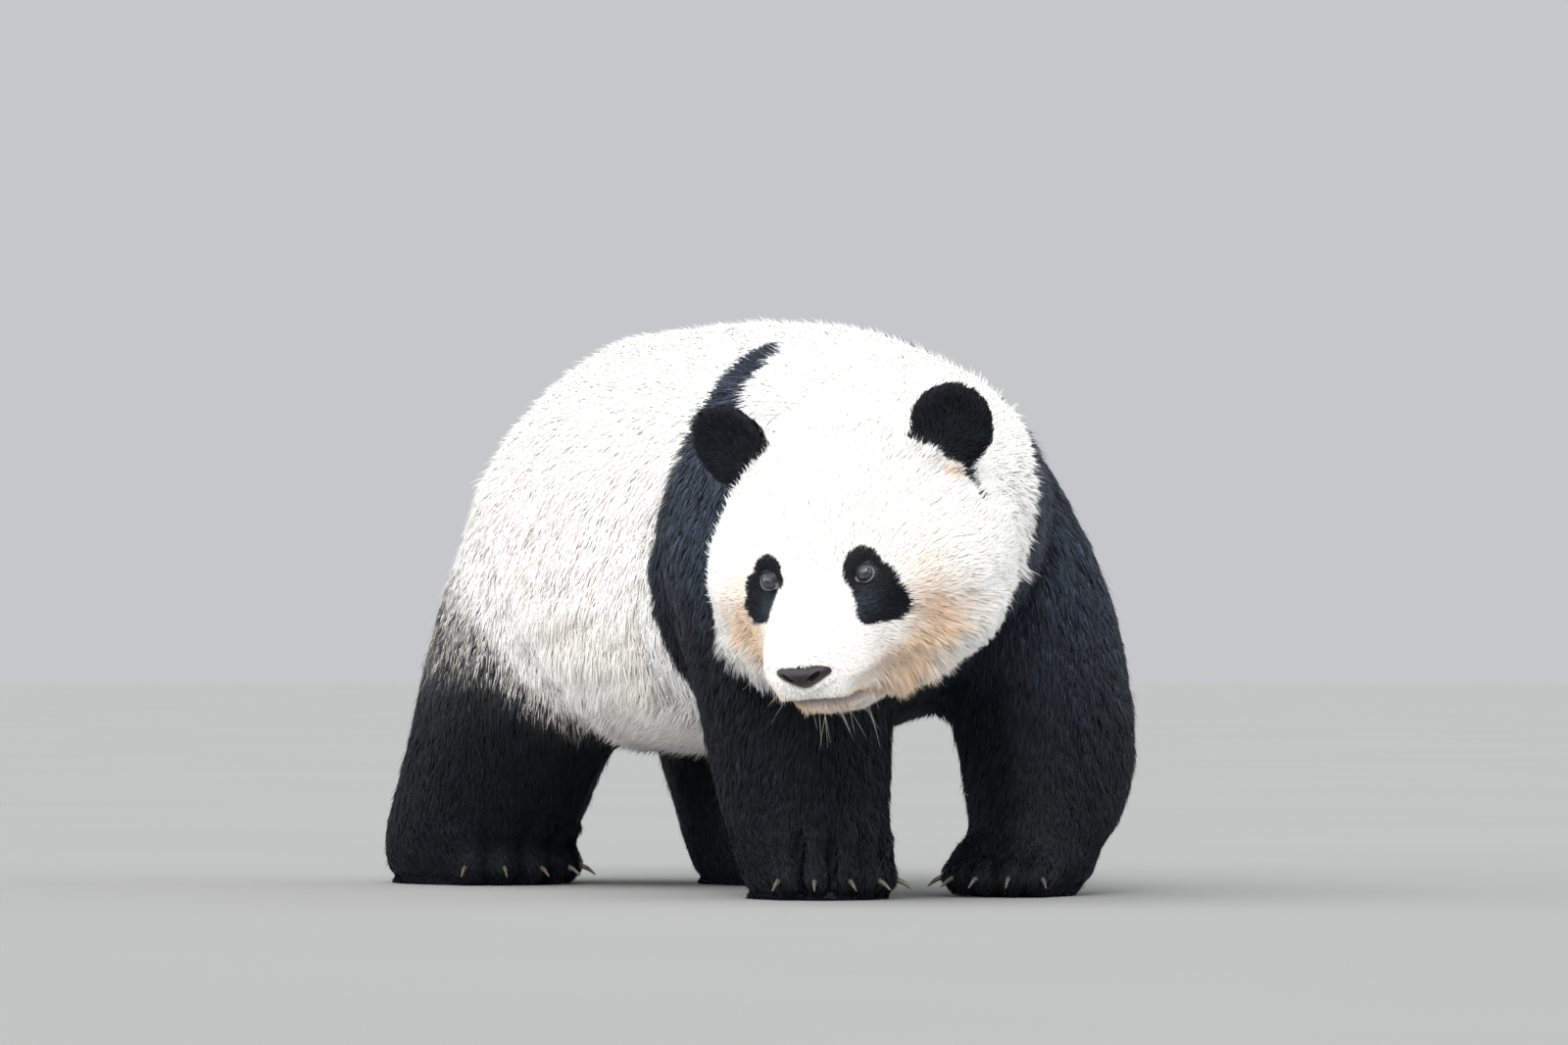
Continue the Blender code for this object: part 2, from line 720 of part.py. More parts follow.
def main():
    for old in list(bpy.data.objects):
        bpy.data.objects.remove(old)
    panda = bpy.data.collections.new("giant_panda")
    helpers = bpy.data.collections.new("cutters")
    for collection in (panda, helpers):
        bpy.context.scene.collection.children.link(collection)
    trunk_forms(helpers)
    head_forms(helpers)
    foreleg_forms(helpers)
    hindleg_forms(helpers)
    toe_forms(helpers)
    whole = joined_forms(helpers, panda)
    shape_body(whole)
    under_floor = box_cutter("floor_cut", helpers, (0, 0, -0.2), (2, 2, 0.2))
    cut(whole, under_floor, "DIFFERENCE")
    pieces = part_legs(whole, helpers)
    pieces.update(part_head_neck_tail(whole, helpers))
    main_body_only(whole)
    whole.name = "trunk"
    pieces["trunk"] = whole
    add_face_pieces(pieces, panda, helpers)
    add_claws(pieces, panda, helpers)
    settle_on_floor(pieces)
    for name, piece in pieces.items():
        colour, roughness = finish_of(name)
        piece.data.materials.clear()
        piece.data.materials.append(material(name + "_finish", COLOURS[colour], roughness))
        piece.data.shade_smooth()
    for helper in helpers.objects:
        helper.hide_render = True
        helper.display_type = "WIRE"


main()
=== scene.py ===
"""The looks of the walking giant panda: skin, coat, eyes, nose, mouth and claws.

Metres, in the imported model's frame: the panda walks towards -Y, +X is its left
side and the floor is z = 0. One skin stands for all nodes of flesh. It lies
under them by the coat's depth, and tufts of thin blades grow from it and end
about where the CAD surface is. Places called local are in the head's own frame:
to its left, forward and up from its centre.
"""

import contextlib
import itertools
import math

import bmesh
import bpy
import numpy as np
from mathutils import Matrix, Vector
from mathutils.bvhtree import BVHTree


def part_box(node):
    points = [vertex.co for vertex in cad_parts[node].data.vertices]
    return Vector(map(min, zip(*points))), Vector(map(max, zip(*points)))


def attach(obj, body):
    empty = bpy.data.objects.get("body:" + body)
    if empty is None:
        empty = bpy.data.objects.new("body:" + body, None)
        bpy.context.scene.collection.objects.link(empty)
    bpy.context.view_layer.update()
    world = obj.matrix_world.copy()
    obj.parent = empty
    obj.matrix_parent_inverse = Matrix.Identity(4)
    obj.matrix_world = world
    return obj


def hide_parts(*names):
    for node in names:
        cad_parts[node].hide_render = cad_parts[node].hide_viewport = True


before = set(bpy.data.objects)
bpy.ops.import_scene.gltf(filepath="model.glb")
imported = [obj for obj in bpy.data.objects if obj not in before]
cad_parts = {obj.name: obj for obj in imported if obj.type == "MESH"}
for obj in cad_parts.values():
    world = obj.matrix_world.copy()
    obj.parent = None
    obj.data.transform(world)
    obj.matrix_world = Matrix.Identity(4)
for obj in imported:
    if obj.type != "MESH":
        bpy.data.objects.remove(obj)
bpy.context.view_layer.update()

# ---- the camera
CAMERA_TURN = math.radians(-32)  # round the panda, from straight in front of it
CAMERA_DISTANCE = 10.0
CAMERA_HEIGHT = 0.28
CAMERA_SIDE = 0.039  # to its right of the point that it faces
CAMERA_PITCH = math.radians(1.04)  # upward
CAMERA_LENS = 182.25
CAMERA_SENSOR = 36
CAMERA_FAR = 200
CAMERA_AIM = Vector((0.026, 0.072, 0.0))

# ---- the head's turn, as in CAD
HEAD_YAW = math.radians(57)
HEAD_PITCH = math.radians(23)
HEAD_ROLL = math.radians(4.5)
EYE_LEVEL = np.array((0.0, 0.118, 0.014))  # mid-point of the eyes
EYE_SPREAD = 0.064
EYE_RADIUS = 0.0125
EYE_SHIFT = (-0.002, -0.0012, 0.0032)  # outward, forward and up from the CAD's ball
EYE_PLACE = EYE_LEVEL + (EYE_SPREAD, 0, 0) + EYE_SHIFT
EAR_PLACE = np.array((0.145, -0.023, 0.139))
EAR_LEAN = math.radians(38)
EAR_RADIUS = 0.0525
EAR_HEIGHT = 0.050  # of the middle over the foot
NOSE_PLACE = np.array((0.0, 0.204, -0.066))
NOSE_HALF = np.array((0.0375, 0.0225, 0.0190))
NOSE_SINK = 0.0005
NOSE_TAPER = 0.74  # how much narrower its foot is
NOSE_TAPER_POWER = 1.15
NOSE_TOP = 0.74  # height of its upper half against the lower one's
NOSTRIL_PLACE = np.array((0.0165, -0.0010))  # across and up from the pad's middle
NOSTRIL_HALF = (0.0082, 0.0027)
NOSTRIL_TILT = math.radians(28)
NOSTRIL_DEPTH = 0.0060
NOSTRIL_RIM = 0.0005
NOSE_SIDES = 120
NOSE_RINGS = 70
NOSE_GROOVE = 0.0012  # down the middle of the pad
MOUTH_LEVEL = -0.0990  # height of its line in the middle
MOUTH_SAG = (2.2, 60.0)  # with the 2nd and 4th power of the distance to the side
MOUTH_GROOVE = (0.0042, 0.0065)  # width and depth
LOWER_LIP = (0.0105, 0.0060, 0.0030)  # below the line, width, and rise
LIP_FURROW = (0.0022, 0.0022)  # width and depth, from the nose to the mouth
MOUTH_SIDES = 10
MOUTH_LINE = (0.0016, 0.0011)  # half depth and half height

# ---- the eyes
GAZES = {1: np.array((0.36, 0.86, 0.34)), -1: np.array((0.05, 0.93, 0.34))}
SOCKET_AXIS = np.array((0.34, 0.92, 0.12))
PUPIL_ANGLE = math.radians(13)
EYE_SIDES = 64
IRIS_ANGLE = math.radians(35)
CORNEA_RISE = 0.0009
LID_TILT = math.radians(23)
LID_HALF_WIDTH = 0.0098
LID_HALF_HEIGHT = 0.0078
LID_INNER = 1.25  # the inner corner reaches further
LID_RINGS = [  # share of the opening, rise over the ball, share on the skin, tone
    (0.90, -0.0006, 0.0, 0.30),
    (0.95, 0.0004, 0.0, 0.8),
    (1.03, 0.0012, 0.0, 1.0),
    (1.12, 0.0015, 0.0, 0.9),
    (1.22, 0.0012, 0.0, 0.5),
    (1.32, 0.0005, 0.3, 0.25),
    (1.45, 0.0004, 0.7, 0.16),
    (1.60, 0.0012, 1.0, 0.10),
    (1.75, 0.0006, 1.0, 0.05),
    (1.95, -0.0012, 1.0, 0.03),
]
LID_SIDES = 96
LID_SHINE = math.radians(40)  # where the painted highlight of the lids is brightest, low and outward
LID_CLEARANCE = 0.0006  # least height over the ball and the skin

# ---- the skin
JOIN_GROWTH = 0.0006  # closes the thin cuts between the CAD's pieces
SKIN_VOXEL = 0.0058
WELD = 1e-6  # corners this near are one
SHAPE_ROUNDS = 30  # of smoothing, which takes the CAD's facets away
BORDER_ROUNDS = 14  # of smoothing between regions
SINK_STEPS = 6
EAR_THINNING = 0.07  # how far the rims of the ears are drawn in to their middles
BALL_CLEARANCE = 0.0022  # of the skin behind the eye's surface
SETTLE_ROUNDS = 8
FLOOR_GAP = 0.0003

FLESH = [
    name
    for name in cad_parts
    if not name.startswith(("eye_", "nose")) and "claw" not in name
]
REGIONS = ["head", "neck", "trunk", "tail"]
for part in ("ear", "foreleg", "hindleg", "forepaw", "hindpaw"):
    REGIONS += [part + "_left", part + "_right"]
PAW_HEADINGS = {  # degrees to the panda's right of straight ahead
    "forepaw_left": 68,
    "forepaw_right": 8,
    "hindpaw_left": 4,
    "hindpaw_right": -4,
}

# ---- sizes of the coat
# Depth under the CAD's surface, loft of the tips over the skin, length and width
# of a blade, and blades per square metre
LEG_SIZES = (0.012, 0.011, 0.030, 0.0017, 155000)
PAW_SIZES = (0.007, 0.006, 0.017, 0.0014, 220000)
BODY_SIZES = {
    "neck": (0.015, 0.015, 0.038, 0.0018, 180000),
    "trunk": (0.016, 0.014, 0.036, 0.0018, 172000),
    "tail": (0.016, 0.014, 0.040, 0.0017, 185000),
    "ear": (0.0012, 0.0065, 0.016, 0.0012, 420000),
    "foreleg": LEG_SIZES,
    "hindleg": LEG_SIZES,
    "forepaw": PAW_SIZES,
    "hindpaw": PAW_SIZES,
}
HEAD_SIZES = {
    "back": (0.014, 0.014, 0.034, 0.0016, 230000),
    "front": (0.0085, 0.0075, 0.018, 0.0011, 430000),
    "muzzle": (0.0034, 0.0025, 0.0085, 0.0009, 820000),
    "chin": (0.0200, 0.0105, 0.0220, 0.0009, 540000),
    "jaw": (0.0185, 0.0185, 0.0400, 0.0011, 350000),
    "cheek": (0.026, 0.021, 0.039, 0.0012, 330000),
    "eye": (0.0032, 0.0028, 0.0080, 0.0009, 800000),
    "nose": (0.0110, 0.0030, 0.0060, 0.0009, 820000),
    "lids": (0.0040, 0.0016, 0.0050, 0.0008, 800000),
}

# ---- how the blades vary and how they are shared out
LENGTH_SPREAD = (-0.28, 0.16)
WIDTH_SPREAD = (0.75, 1.25)
FOOT_WIDTH = 0.8  # of a blade, against its widest place
SEGMENT = 0.52  # share of its length at which a blade bends
TURN_SPREAD = 0.13  # radians off the lie of the coat
TILT_SPREAD = 0.20  # radians about its own length
LIFT_LIMITS = (0.08, 0.75)  # of the tip over the skin, as a share of the length
LEAST_LOFT = 0.18  # share of the length
LIFT_SPREAD = 0.08
GUARD_SHARE = 0.10  # of the blades are longer, finer hairs over the others
GUARD_LIFT = (1.15, 1.85)
GUARD_WIDTH = 0.55
PULL_SPREAD = (0.5, 1.2)  # with which blades follow their lock
MIDDLE_FOLLOW = 0.35  # how far the bend of a blade follows its tip
LIP_SHORTER = 0.55  # how much shorter the hair of the lips is
ROUNDING = 0.22  # how far the normals lean to a blade's sides
WHITE_UPWARD = 0.28  # how far the normals of white blades turn up
NORMAL_SPREAD = 0.07
ROOT_DEPTH = 0.0012  # of a blade's foot in the skin
PATCH = 0.003  # size of a tuft's patch in the map
LOCK_SIZE = 0.0032  # of the shortest locks
LOCK_STEP = 0.012  # locks widen by their size with each such length of hair
FACE_FORWARD = 0.085  # where the coat's pieces part, in the head
MUZZLE_FORWARD = 0.135
TRUNK_MIDDLE = 0.06  # and along the body
PIECE_LIMIT = 66000  # blades, which have three triangles each
BLADE = np.array((0, 2, 1, 0, 3, 2, 3, 4, 2))  # corners of its three triangles
PATCH_CORNERS = PATCH * np.array(
    ((0.2, 0.0), (0.8, 0.0), (0.75, 0.5), (0.25, 0.5), (0.5, 1.0))
)

# ---- edges of the markings
YOKE_REAR = [  # height, and how far back the black of the shoulders reaches
    (0.20, -0.060), (0.26, -0.068), (0.34, -0.070), (0.40, -0.068), (0.44, -0.076),
    (0.48, -0.096), (0.52, -0.112), (0.56, -0.118), (0.62, -0.116), (0.70, -0.122),
]
RUFF_EDGE = [  # height, and how far from the head's centre the white ruff ends
    (0.40, 0.205), (0.47, 0.228), (0.515, 0.262), (0.575, 0.376), (0.60, 0.397),
    (0.635, 0.427), (0.655, 0.447), (0.674, 0.467), (0.688, 0.498), (0.705, 0.540),
]
OVERHANG = 0.026  # how far the tips of one colour lie over the next one's roots
PATCH_TOP = np.array((0.0595, 0.021))  # of the eye patch, across and up in the head
PATCH_BOTTOM = (0.0760, -0.0140)
PATCH_BULGE = (0.0730, 0.0040)
PATCH_TEAR = (0.0440, 0.0120)  # the point at the inner corner
PATCH_RADIUS = {1: 0.0240, -1: 0.0207}  # on the left and on the right
TEAR_RADIUS = 0.0085
EAR_SKIN = np.array((0.132, 0.007, 0.081))  # bare skin in front of the left ear
EAR_SKIN_SIZE = 0.011
WISP = ((0.143, -0.016, 0.085), (0.158, 0.002, 0.045))  # dark hair under it

# ---- colours, linear light
# roots darker than tips: painted shade between the blades; the blue tint of the black tips is
# painted sheen
WHITE_TIP = np.array((0.96, 0.95, 0.925))
WHITE_ROOT = np.array((0.92, 0.90, 0.855))
# blue-grey tips: the own colour of the grey hair under the eyes, and painted sheen on the upper
# shoulders
ASH_AND_SHEEN_TIP = np.array((0.034, 0.045, 0.066))
BLACK_TIP = np.array((0.0052, 0.0080, 0.0115))
BLACK_ROOT = np.array((0.003, 0.004, 0.005))
BLACK_EDGE = np.array((0.045, 0.038, 0.032))  # added where black meets white
TAN = np.array((0.92, 0.66, 0.435))
LIP = np.array((0.16, 0.095, 0.075))
GRIZZLE = np.array((0.30, 0.27, 0.235))
NOSE_BLACK = np.array((0.017, 0.0145, 0.017))
# near black in the nostrils: painted shade in their hollows
NOSTRIL_SHADE = (0.004, 0.0035, 0.004)
# dark lip skin, and painted shade of the gap between the lips
MOUTH_LIP_AND_SHADE = (0.030, 0.020, 0.020)
WHISKER_WHITE = (0.80, 0.77, 0.70)
# the blue tint of iris, pupil and rim is a painted reflection of the sky on a dark eye
IRIS_WITH_SKY_REFLECTION = (0.026, 0.031, 0.042)
IRIS_EDGE = (0.005, 0.006, 0.009)
PUPIL = (0.007, 0.008, 0.011)
EYE_RIM = (0.018, 0.020, 0.026)
LID_GREY = (0.22, 0.245, 0.285)
LID_PINK = np.array((0.28, 0.25, 0.28))
DARKEST, LIGHTEST = 0.002, 0.97
TONE_SPREAD = 0.025  # of white blades
TAN_SPREAD = 0.22  # of how strong the tan is
DARK_SPREAD = 0.35  # of black blades
DARK_LIMITS = (0.35, 3)
GLINT_SHARE = 0.09  # of the black blades are lighter
GLINT = 2.2

SEED = 20
rng = np.random.default_rng(SEED)
HASH = np.array((73856093, 19349663, 83492791))
STEP_HASH = 50331653


# ---- number helpers
def fade(values, start, end):
    """0 at start, 1 at end, with a soft step between them; end may be the lower."""
    share = np.clip((values - start) / (end - start), 0, 1)
    return share * share * (3 - 2 * share)


def glow(distance, width):
    """1 where the distance is 0, and soon less beyond the width."""
    return np.exp(-((distance / width) ** 2))


def mix(first, second, share):
    """first where share is 0 and second where it is 1, row by row for vectors."""
    first, second, share = np.asarray(first), np.asarray(second), np.asarray(share)
    if max(first.ndim, second.ndim) > share.ndim:
        share = share[:, None]
    return first * (1 - share) + second * share


def unit(vectors):
    lengths = np.linalg.norm(vectors, axis=-1, keepdims=True)
    return vectors / np.maximum(lengths, 1e-12)


def reach_of_line(points, start, end):
    """Distance of points from the line between start and end, and share along it."""
    start = np.asarray(start)
    along = end - start
    share = np.clip((points - start) @ along / (along @ along), 0, 1)
    return np.linalg.norm(points - start - share[:, None] * along, axis=1), share


def value_noise(points, size, seed):
    """Smooth random numbers from -1 to 1 that change over a distance of size."""
    table = np.random.default_rng(seed).uniform(-1, 1, 4096)
    grid = points / size + 1000
    cell = np.floor(grid).astype(np.int64)
    part = grid - cell
    part = part * part * (3 - 2 * part)
    total = np.zeros(len(points))
    for corner in itertools.product((0, 1), repeat=3):
        key = (cell + corner) @ HASH & 4095
        total += table[key] * np.prod(np.where(corner, part, 1 - part), axis=1)
    return total


# ---- head frame
def head_axes():
    """Rows: the head's left, forward and up, in the row's frame."""
    forward = Vector(
        (
            -math.sin(HEAD_YAW) * math.cos(HEAD_PITCH),
            -math.cos(HEAD_YAW) * math.cos(HEAD_PITCH),
            -math.sin(HEAD_PITCH),
        )
    )
    level_left = Vector((math.cos(HEAD_YAW), -math.sin(HEAD_YAW), 0.0))
    level_up = forward.cross(level_left)
    left = level_left * math.cos(HEAD_ROLL) + level_up * math.sin(HEAD_ROLL)
    up = level_up * math.cos(HEAD_ROLL) - level_left * math.sin(HEAD_ROLL)
    return np.array((left, forward, up))


def box_middle(node):
    low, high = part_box(node)
    return np.array((low + high) / 2)


HEAD_AXES = head_axes()
EYES_MIDDLE = (box_middle("eye_left") + box_middle("eye_right")) / 2
HEAD_CENTRE = EYES_MIDDLE - EYE_LEVEL @ HEAD_AXES
DOWN = np.array((0, 0, -1.0))


def in_head(points):
    return (points - HEAD_CENTRE) @ HEAD_AXES.T


def out_of_head(points):
    return np.asarray(points) @ HEAD_AXES + HEAD_CENTRE


def make_camera():
    camera = bpy.data.objects.new("camera", bpy.data.cameras.new("camera"))
    bpy.context.scene.collection.objects.link(camera)
    right = Vector((math.cos(CAMERA_TURN), math.sin(CAMERA_TURN), 0))
    back = Vector((math.sin(CAMERA_TURN), -math.cos(CAMERA_TURN), 0))
    camera.location = (
        CAMERA_AIM
        + right * CAMERA_SIDE
        + back * CAMERA_DISTANCE
        + Vector((0, 0, CAMERA_HEIGHT))
    )
    camera.rotation_euler = (math.radians(90) + CAMERA_PITCH, 0, CAMERA_TURN)
    camera.data.lens = CAMERA_LENS
    camera.data.sensor_width = CAMERA_SENSOR
    camera.data.clip_end = CAMERA_FAR
    bpy.context.scene.camera = camera


make_camera()


# ---- mesh helpers
def read_array(items, key, width, kind=np.float32):
    values = np.empty(len(items) * width, kind)
    items.foreach_get(key, values)
    return values.reshape(-1, width)


def write_array(items, key, values, kind=np.float32):
    items.foreach_set(key, np.asarray(values, kind).ravel())


def mesh_points(mesh):
    return read_array(mesh.vertices, "co", 3).astype(float)


def mesh_normals(mesh):
    return read_array(mesh.vertex_normals, "vector", 3).astype(float)


def set_points(mesh, points):
    """Moves the mesh's points, and gives their new normals."""
    write_array(mesh.vertices, "co", points)
    mesh.update()
    return mesh_normals(mesh)


def paint(mesh, colours):
    """Gives each vertex its colour; the last axis of colours is red, green, blue."""
    painted = mesh.attributes.new("coat_colour", "FLOAT_COLOR", "POINT")
    opaque = np.ones(colours.shape[:-1] + (1,))
    write_array(painted.data, "color", np.concatenate((colours, opaque), axis=-1))


def add_object(name, mesh):
    made = bpy.data.objects.new(name, mesh)
    bpy.context.scene.collection.objects.link(made)
    return made


def finish_piece(piece, material, slot, *nodes):
    piece.data.materials.append(material)
    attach(piece, "root")
    if nodes:
        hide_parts(*nodes)


@contextlib.contextmanager
def editing(mesh):
    """The mesh as a bmesh, which is written back in the end."""
    form = bmesh.new()
    form.from_mesh(mesh)
    yield form
    form.to_mesh(mesh)
    form.free()


def applied(made):
    """The object's mesh as its modifiers leave it."""
    bpy.context.view_layer.update()
    graph = bpy.context.evaluated_depsgraph_get()
    mesh = bpy.data.meshes.new_from_object(made.evaluated_get(graph))
    made.modifiers.clear()
    made.data = mesh
    return mesh


class Links:
    """The edges of a mesh, for averages over each point's neighbours."""

    def __init__(self, mesh):
        first, second = read_array(mesh.edges, "vertices", 2, np.int32).astype(np.int64).T
        self.start = np.concatenate((first, second))
        self.end = np.concatenate((second, first))
        self.size = len(mesh.vertices)
        self.counts = np.maximum(np.bincount(self.start, minlength=self.size), 1)

    def total(self, values):
        """For each point, the sum of the values given for its links."""
        if values.ndim == 1:
            return np.bincount(self.start, values, self.size)
        columns = [np.bincount(self.start, column, self.size) for column in values.T]
        return np.stack(columns, axis=1)

    def mean(self, values):
        counts = self.counts if values.ndim == 1 else self.counts[:, None]
        return self.total(values[self.end]) / counts

    def smooth(self, values, rounds, share=0.5):
        for _ in range(rounds):
            values = values + (self.mean(values) - values) * share
        return values

    def smooth_shape(self, points, rounds, share):
        """Taubin smoothing: facets go, and the volume stays."""
        share = share[:, None]
        for _ in range(rounds):
            for push in (0.5, -0.52):
                points = points + (self.mean(points) - points) * push * share
        return points


# ---- shape of the face
def eye_distance(local):
    """Distance from the nearer of the CAD's two balls."""
    mirrored = np.column_stack((np.abs(local[:, 0]), local[:, 1:]))
    return np.linalg.norm(mirrored - EYE_LEVEL - (EYE_SPREAD, 0, 0), axis=1)


def eye_frame(side):
    """The outward, upward and forward axes of an eye's opening, in the head's frame."""
    axis = unit(SOCKET_AXIS * (side, 1, 1))
    outer = unit(np.cross(axis, (0, 0, side)))
    above = unit(np.cross(outer, axis) * side)
    tilted = outer * math.cos(LID_TILT) + above * math.sin(LID_TILT)
    return tilted, above * math.cos(LID_TILT) - outer * math.sin(LID_TILT), axis


def eye_opening(local, side):
    """Each point's share of the way from the eye's middle to the edge of its lids,
    and its height over the eye's middle along the eye's axis."""
    outer, above, axis = eye_frame(side)
    offset = local - EYE_PLACE * (side, 1, 1)
    x, y = offset @ outer, offset @ above
    wide = np.where(x < 0, LID_HALF_WIDTH * LID_INNER, LID_HALF_WIDTH)
    return np.hypot(x / wide, y / LID_HALF_HEIGHT), offset @ axis


def lid_share(local):
    """The lower eye_opening share of the two eyes, far off where it faces away."""
    pairs = [eye_opening(local, side) for side in (1, -1)]
    return np.minimum(*(np.where(height > 0, share, 9) for share, height in pairs))


def nose_distance(local):
    """0 at the middle of the nose pad and 1 on its outline."""
    offset = (local - NOSE_PLACE) / (NOSE_HALF[0], 2 * NOSE_HALF[1], NOSE_HALF[2])
    offset[:, 0] /= 1 - NOSE_TAPER * np.clip(-offset[:, 2], 0, 1) ** NOSE_TAPER_POWER
    offset[:, 2] /= np.where(offset[:, 2] > 0, NOSE_TOP, 1)
    return np.linalg.norm(offset, axis=1)


def mouth_height(across):
    """Height of the line of the mouth in the head's frame."""
    return MOUTH_LEVEL - MOUTH_SAG[0] * across**2 - MOUTH_SAG[1] * across**4


def face_share(local):
    """1 on the face, from the brow to the chin, and 0 behind the cheeks."""
    return fade(local[:, 1], 0.045, 0.075) * fade(np.abs(local[:, 0]), 0.15, 0.13)


def carve_face(points, normals):
    """Folds of the face: mouth, lower lip and lip furrow."""
    x, y, z = in_head(points).T
    front = fade(y, 0.120, 0.150)
    offset = z - mouth_height(x)
    wide = 1 - fade(np.abs(x), 0.026, 0.044)
    groove = glow(offset, MOUTH_GROOVE[0]) * front * wide * MOUTH_GROOVE[1]
    lip = glow(offset + LOWER_LIP[0], LOWER_LIP[1]) * front * LOWER_LIP[2]
    lip *= 1 - fade(np.abs(x), 0.026, 0.046)
    below_nose = fade(z, -0.098, -0.090) * fade(z, -0.070, -0.080)
    furrow = glow(x, LIP_FURROW[0]) * below_nose * front * LIP_FURROW[1]
    return points + normals * (lip - groove - furrow)[:, None]


def open_eyes(points):
    """Presses the skin back behind the balls inside the lids."""
    local = in_head(points)
    for side in (1, -1):
        share, height = eye_opening(local, side)
        reach = np.linalg.norm(local - EYE_PLACE * (side, 1, 1), axis=1)
        beside = np.sqrt(np.maximum(reach**2 - height**2, 0))
        behind_ball = np.sqrt(np.maximum(EYE_RADIUS**2 - beside**2, 0)) - BALL_CLEARANCE
        deeper = np.maximum(height - behind_ball, 0) * (1 - fade(share, 1.15, 1.7))
        deeper = np.where((height > 0) & (share < 2.2), deeper, 0)
        local = local - deeper[:, None] * eye_frame(side)[2]
    return out_of_head(local)


# ---- rules of the coat
class Coat:
    """What the coat is like at each point of the skin."""

    def __init__(self, points, normals, weights):
        self.points = points
        self.normals = normals
        self.weights = weights
        self.local = in_head(points)
        self.set_sizes()
        self.set_locks()

    def of(self, *starts):
        """Each point's share in the regions whose names start so."""
        found = (i for i, region in enumerate(REGIONS) if region.startswith(starts))
        return sum(self.weights[:, i] for i in found)

    def blend(self, share, **goals):
        """Moves the named sizes to their goals where share is 1."""
        for name, goal in goals.items():
            setattr(self, name, mix(getattr(self, name), goal, share))

    def cap(self, share, **tops):
        """Brings the named sizes down to their tops where share is 1."""
        for name, top in tops.items():
            self.blend(share, **{name: np.minimum(getattr(self, name), top)})

    def set_sizes(self):
        """Depth, loft, length, width and density, point by point."""
        z = self.points[:, 2]
        up = self.normals[:, 2]
        rows = (np.outer(self.of(name), BODY_SIZES[name.split("_")[0]]) for name in REGIONS[1:])
        sizes = sum(rows) + self.of("head")[:, None] * self.head_sizes()
        self.depth, self.loft, self.length, self.width, self.density = sizes.T
        behind = ruff_share(self.points)
        nape = fade(z, 0.58, 0.66) * self.of("neck", "trunk")
        hump = nape * fade(behind, 0.02, -0.02) * fade(behind, -0.16, -0.04)
        self.blend(hump, depth=0.017, loft=0.012)
        saddle = nape * fade(behind, -0.01, 0.02) * fade(behind, 0.26, 0.14)
        self.blend(saddle, depth=0.019, loft=0.011)
        belly = self.of("trunk") * fade(up, 0.1, -0.6)
        self.blend(belly, length=0.060)
        lower_leg = fade(z, 0.190, 0.070) * (1 - self.of("trunk", "tail"))
        self.cap(lower_leg, depth=0.0075, loft=0.0070, length=0.019)
        sole = fade(z, 0.020, 0.004) * fade(up, -0.35, -0.75)
        self.blend(sole, depth=0.0006)
        self.blend(fade(z, 0.030, 0.008), length=0.010)
        groove, toes = toe_shares(self.points)
        toes = toes * fade(self.of("forepaw", "hindpaw"), 0.4, 0.8)
        self.blend(toes, depth=0.0025 + 0.0125 * groove)
        rim = fade(z, 0.024, 0.002) * fade(up, -0.8, -0.4)
        self.depth += 0.006 * rim
        self.cap(fade(self.of("ear"), 0.02, 0.25), length=0.016)
        self.density = np.where((z < 0.006) & (up < -0.6), 0, self.density)

    def head_sizes(self):
        """The same on the head, and how far its hair hangs like a beard."""
        forward, up = self.local[:, 1:].T
        across = np.abs(self.local[:, 0])
        nose = nose_distance(self.local)
        opening = lid_share(self.local)
        muzzle = fade(forward, 0.125, 0.165)
        areas = {  # each one goes over those before it
            "front": fade(forward, 0.0, 0.105),
            "muzzle": muzzle,
            "chin": muzzle * fade(up, -0.100, -0.116),
            "jaw": fade(across, 0.040, 0.066) * fade(up, -0.072, -0.10),
            "cheek": fade(across, 0.078, 0.125) * fade(up, 0.01, -0.06),
            "eye": 1 - fade(eye_distance(self.local), 0.020, 0.052),
            "nose": 1 - fade(nose, 0.80, 1.15),
            "lids": fade(opening, 2.1, 1.5),
        }
        self.bearded = self.of("head") * np.maximum(areas["jaw"], 0.8 * areas["chin"])
        rows = np.array(HEAD_SIZES["back"])[None, :]
        for area, share in areas.items():
            rows = mix(rows, HEAD_SIZES[area], share)
        rows[:, 4] *= fade(opening, 1.42, 1.62)  # no hair on the lids and the nose
        rows[:, 4] *= fade(nose, 0.84, 0.94)
        return rows

    def set_locks(self):
        """How far the tips of each lock draw together, how uneven the tips are, and
        how far they sag."""
        forward, up = self.local[:, 1:].T
        z = self.points[:, 2]
        head, ears, legs = self.of("head"), self.of("ear"), self.of("foreleg", "hindleg")
        body = 0.22 * self.of("neck", "trunk", "tail")
        cheek = fade(np.abs(self.local[:, 0]), 0.05, 0.11) * fade(up, 0.04, -0.05)
        ruff = fade(np.abs(ruff_share(self.points) + 0.02), 0.045, 0.015)
        ruff = ruff * self.of("neck", "trunk") * fade(z, 0.62, 0.56)
        clump = body + (0.45 * legs + 0.4 * ears)
        clump += head * (0.22 + 0.38 * cheek) * fade(forward, 0.15, 0.11)
        clump = np.clip(clump + 0.35 * ruff, 0, 0.7)
        self.clump = np.maximum(clump, 0.6 * self.bearded)
        behind = head * fade(forward, 0.115, 0.06)
        ragged = body + 0.45 * legs + 0.5 * ears
        ragged += np.maximum(cheek * head, 0.6 * behind)
        ragged = np.clip(ragged + ruff + self.bearded, 0, 1)
        self.ragged = ragged * (1 - 0.7 * fade(z, 0.60, 0.66))
        self.sag = 0.04 + 0.10 * self.of("trunk") * fade(self.normals[:, 2], 0.4, -0.3)


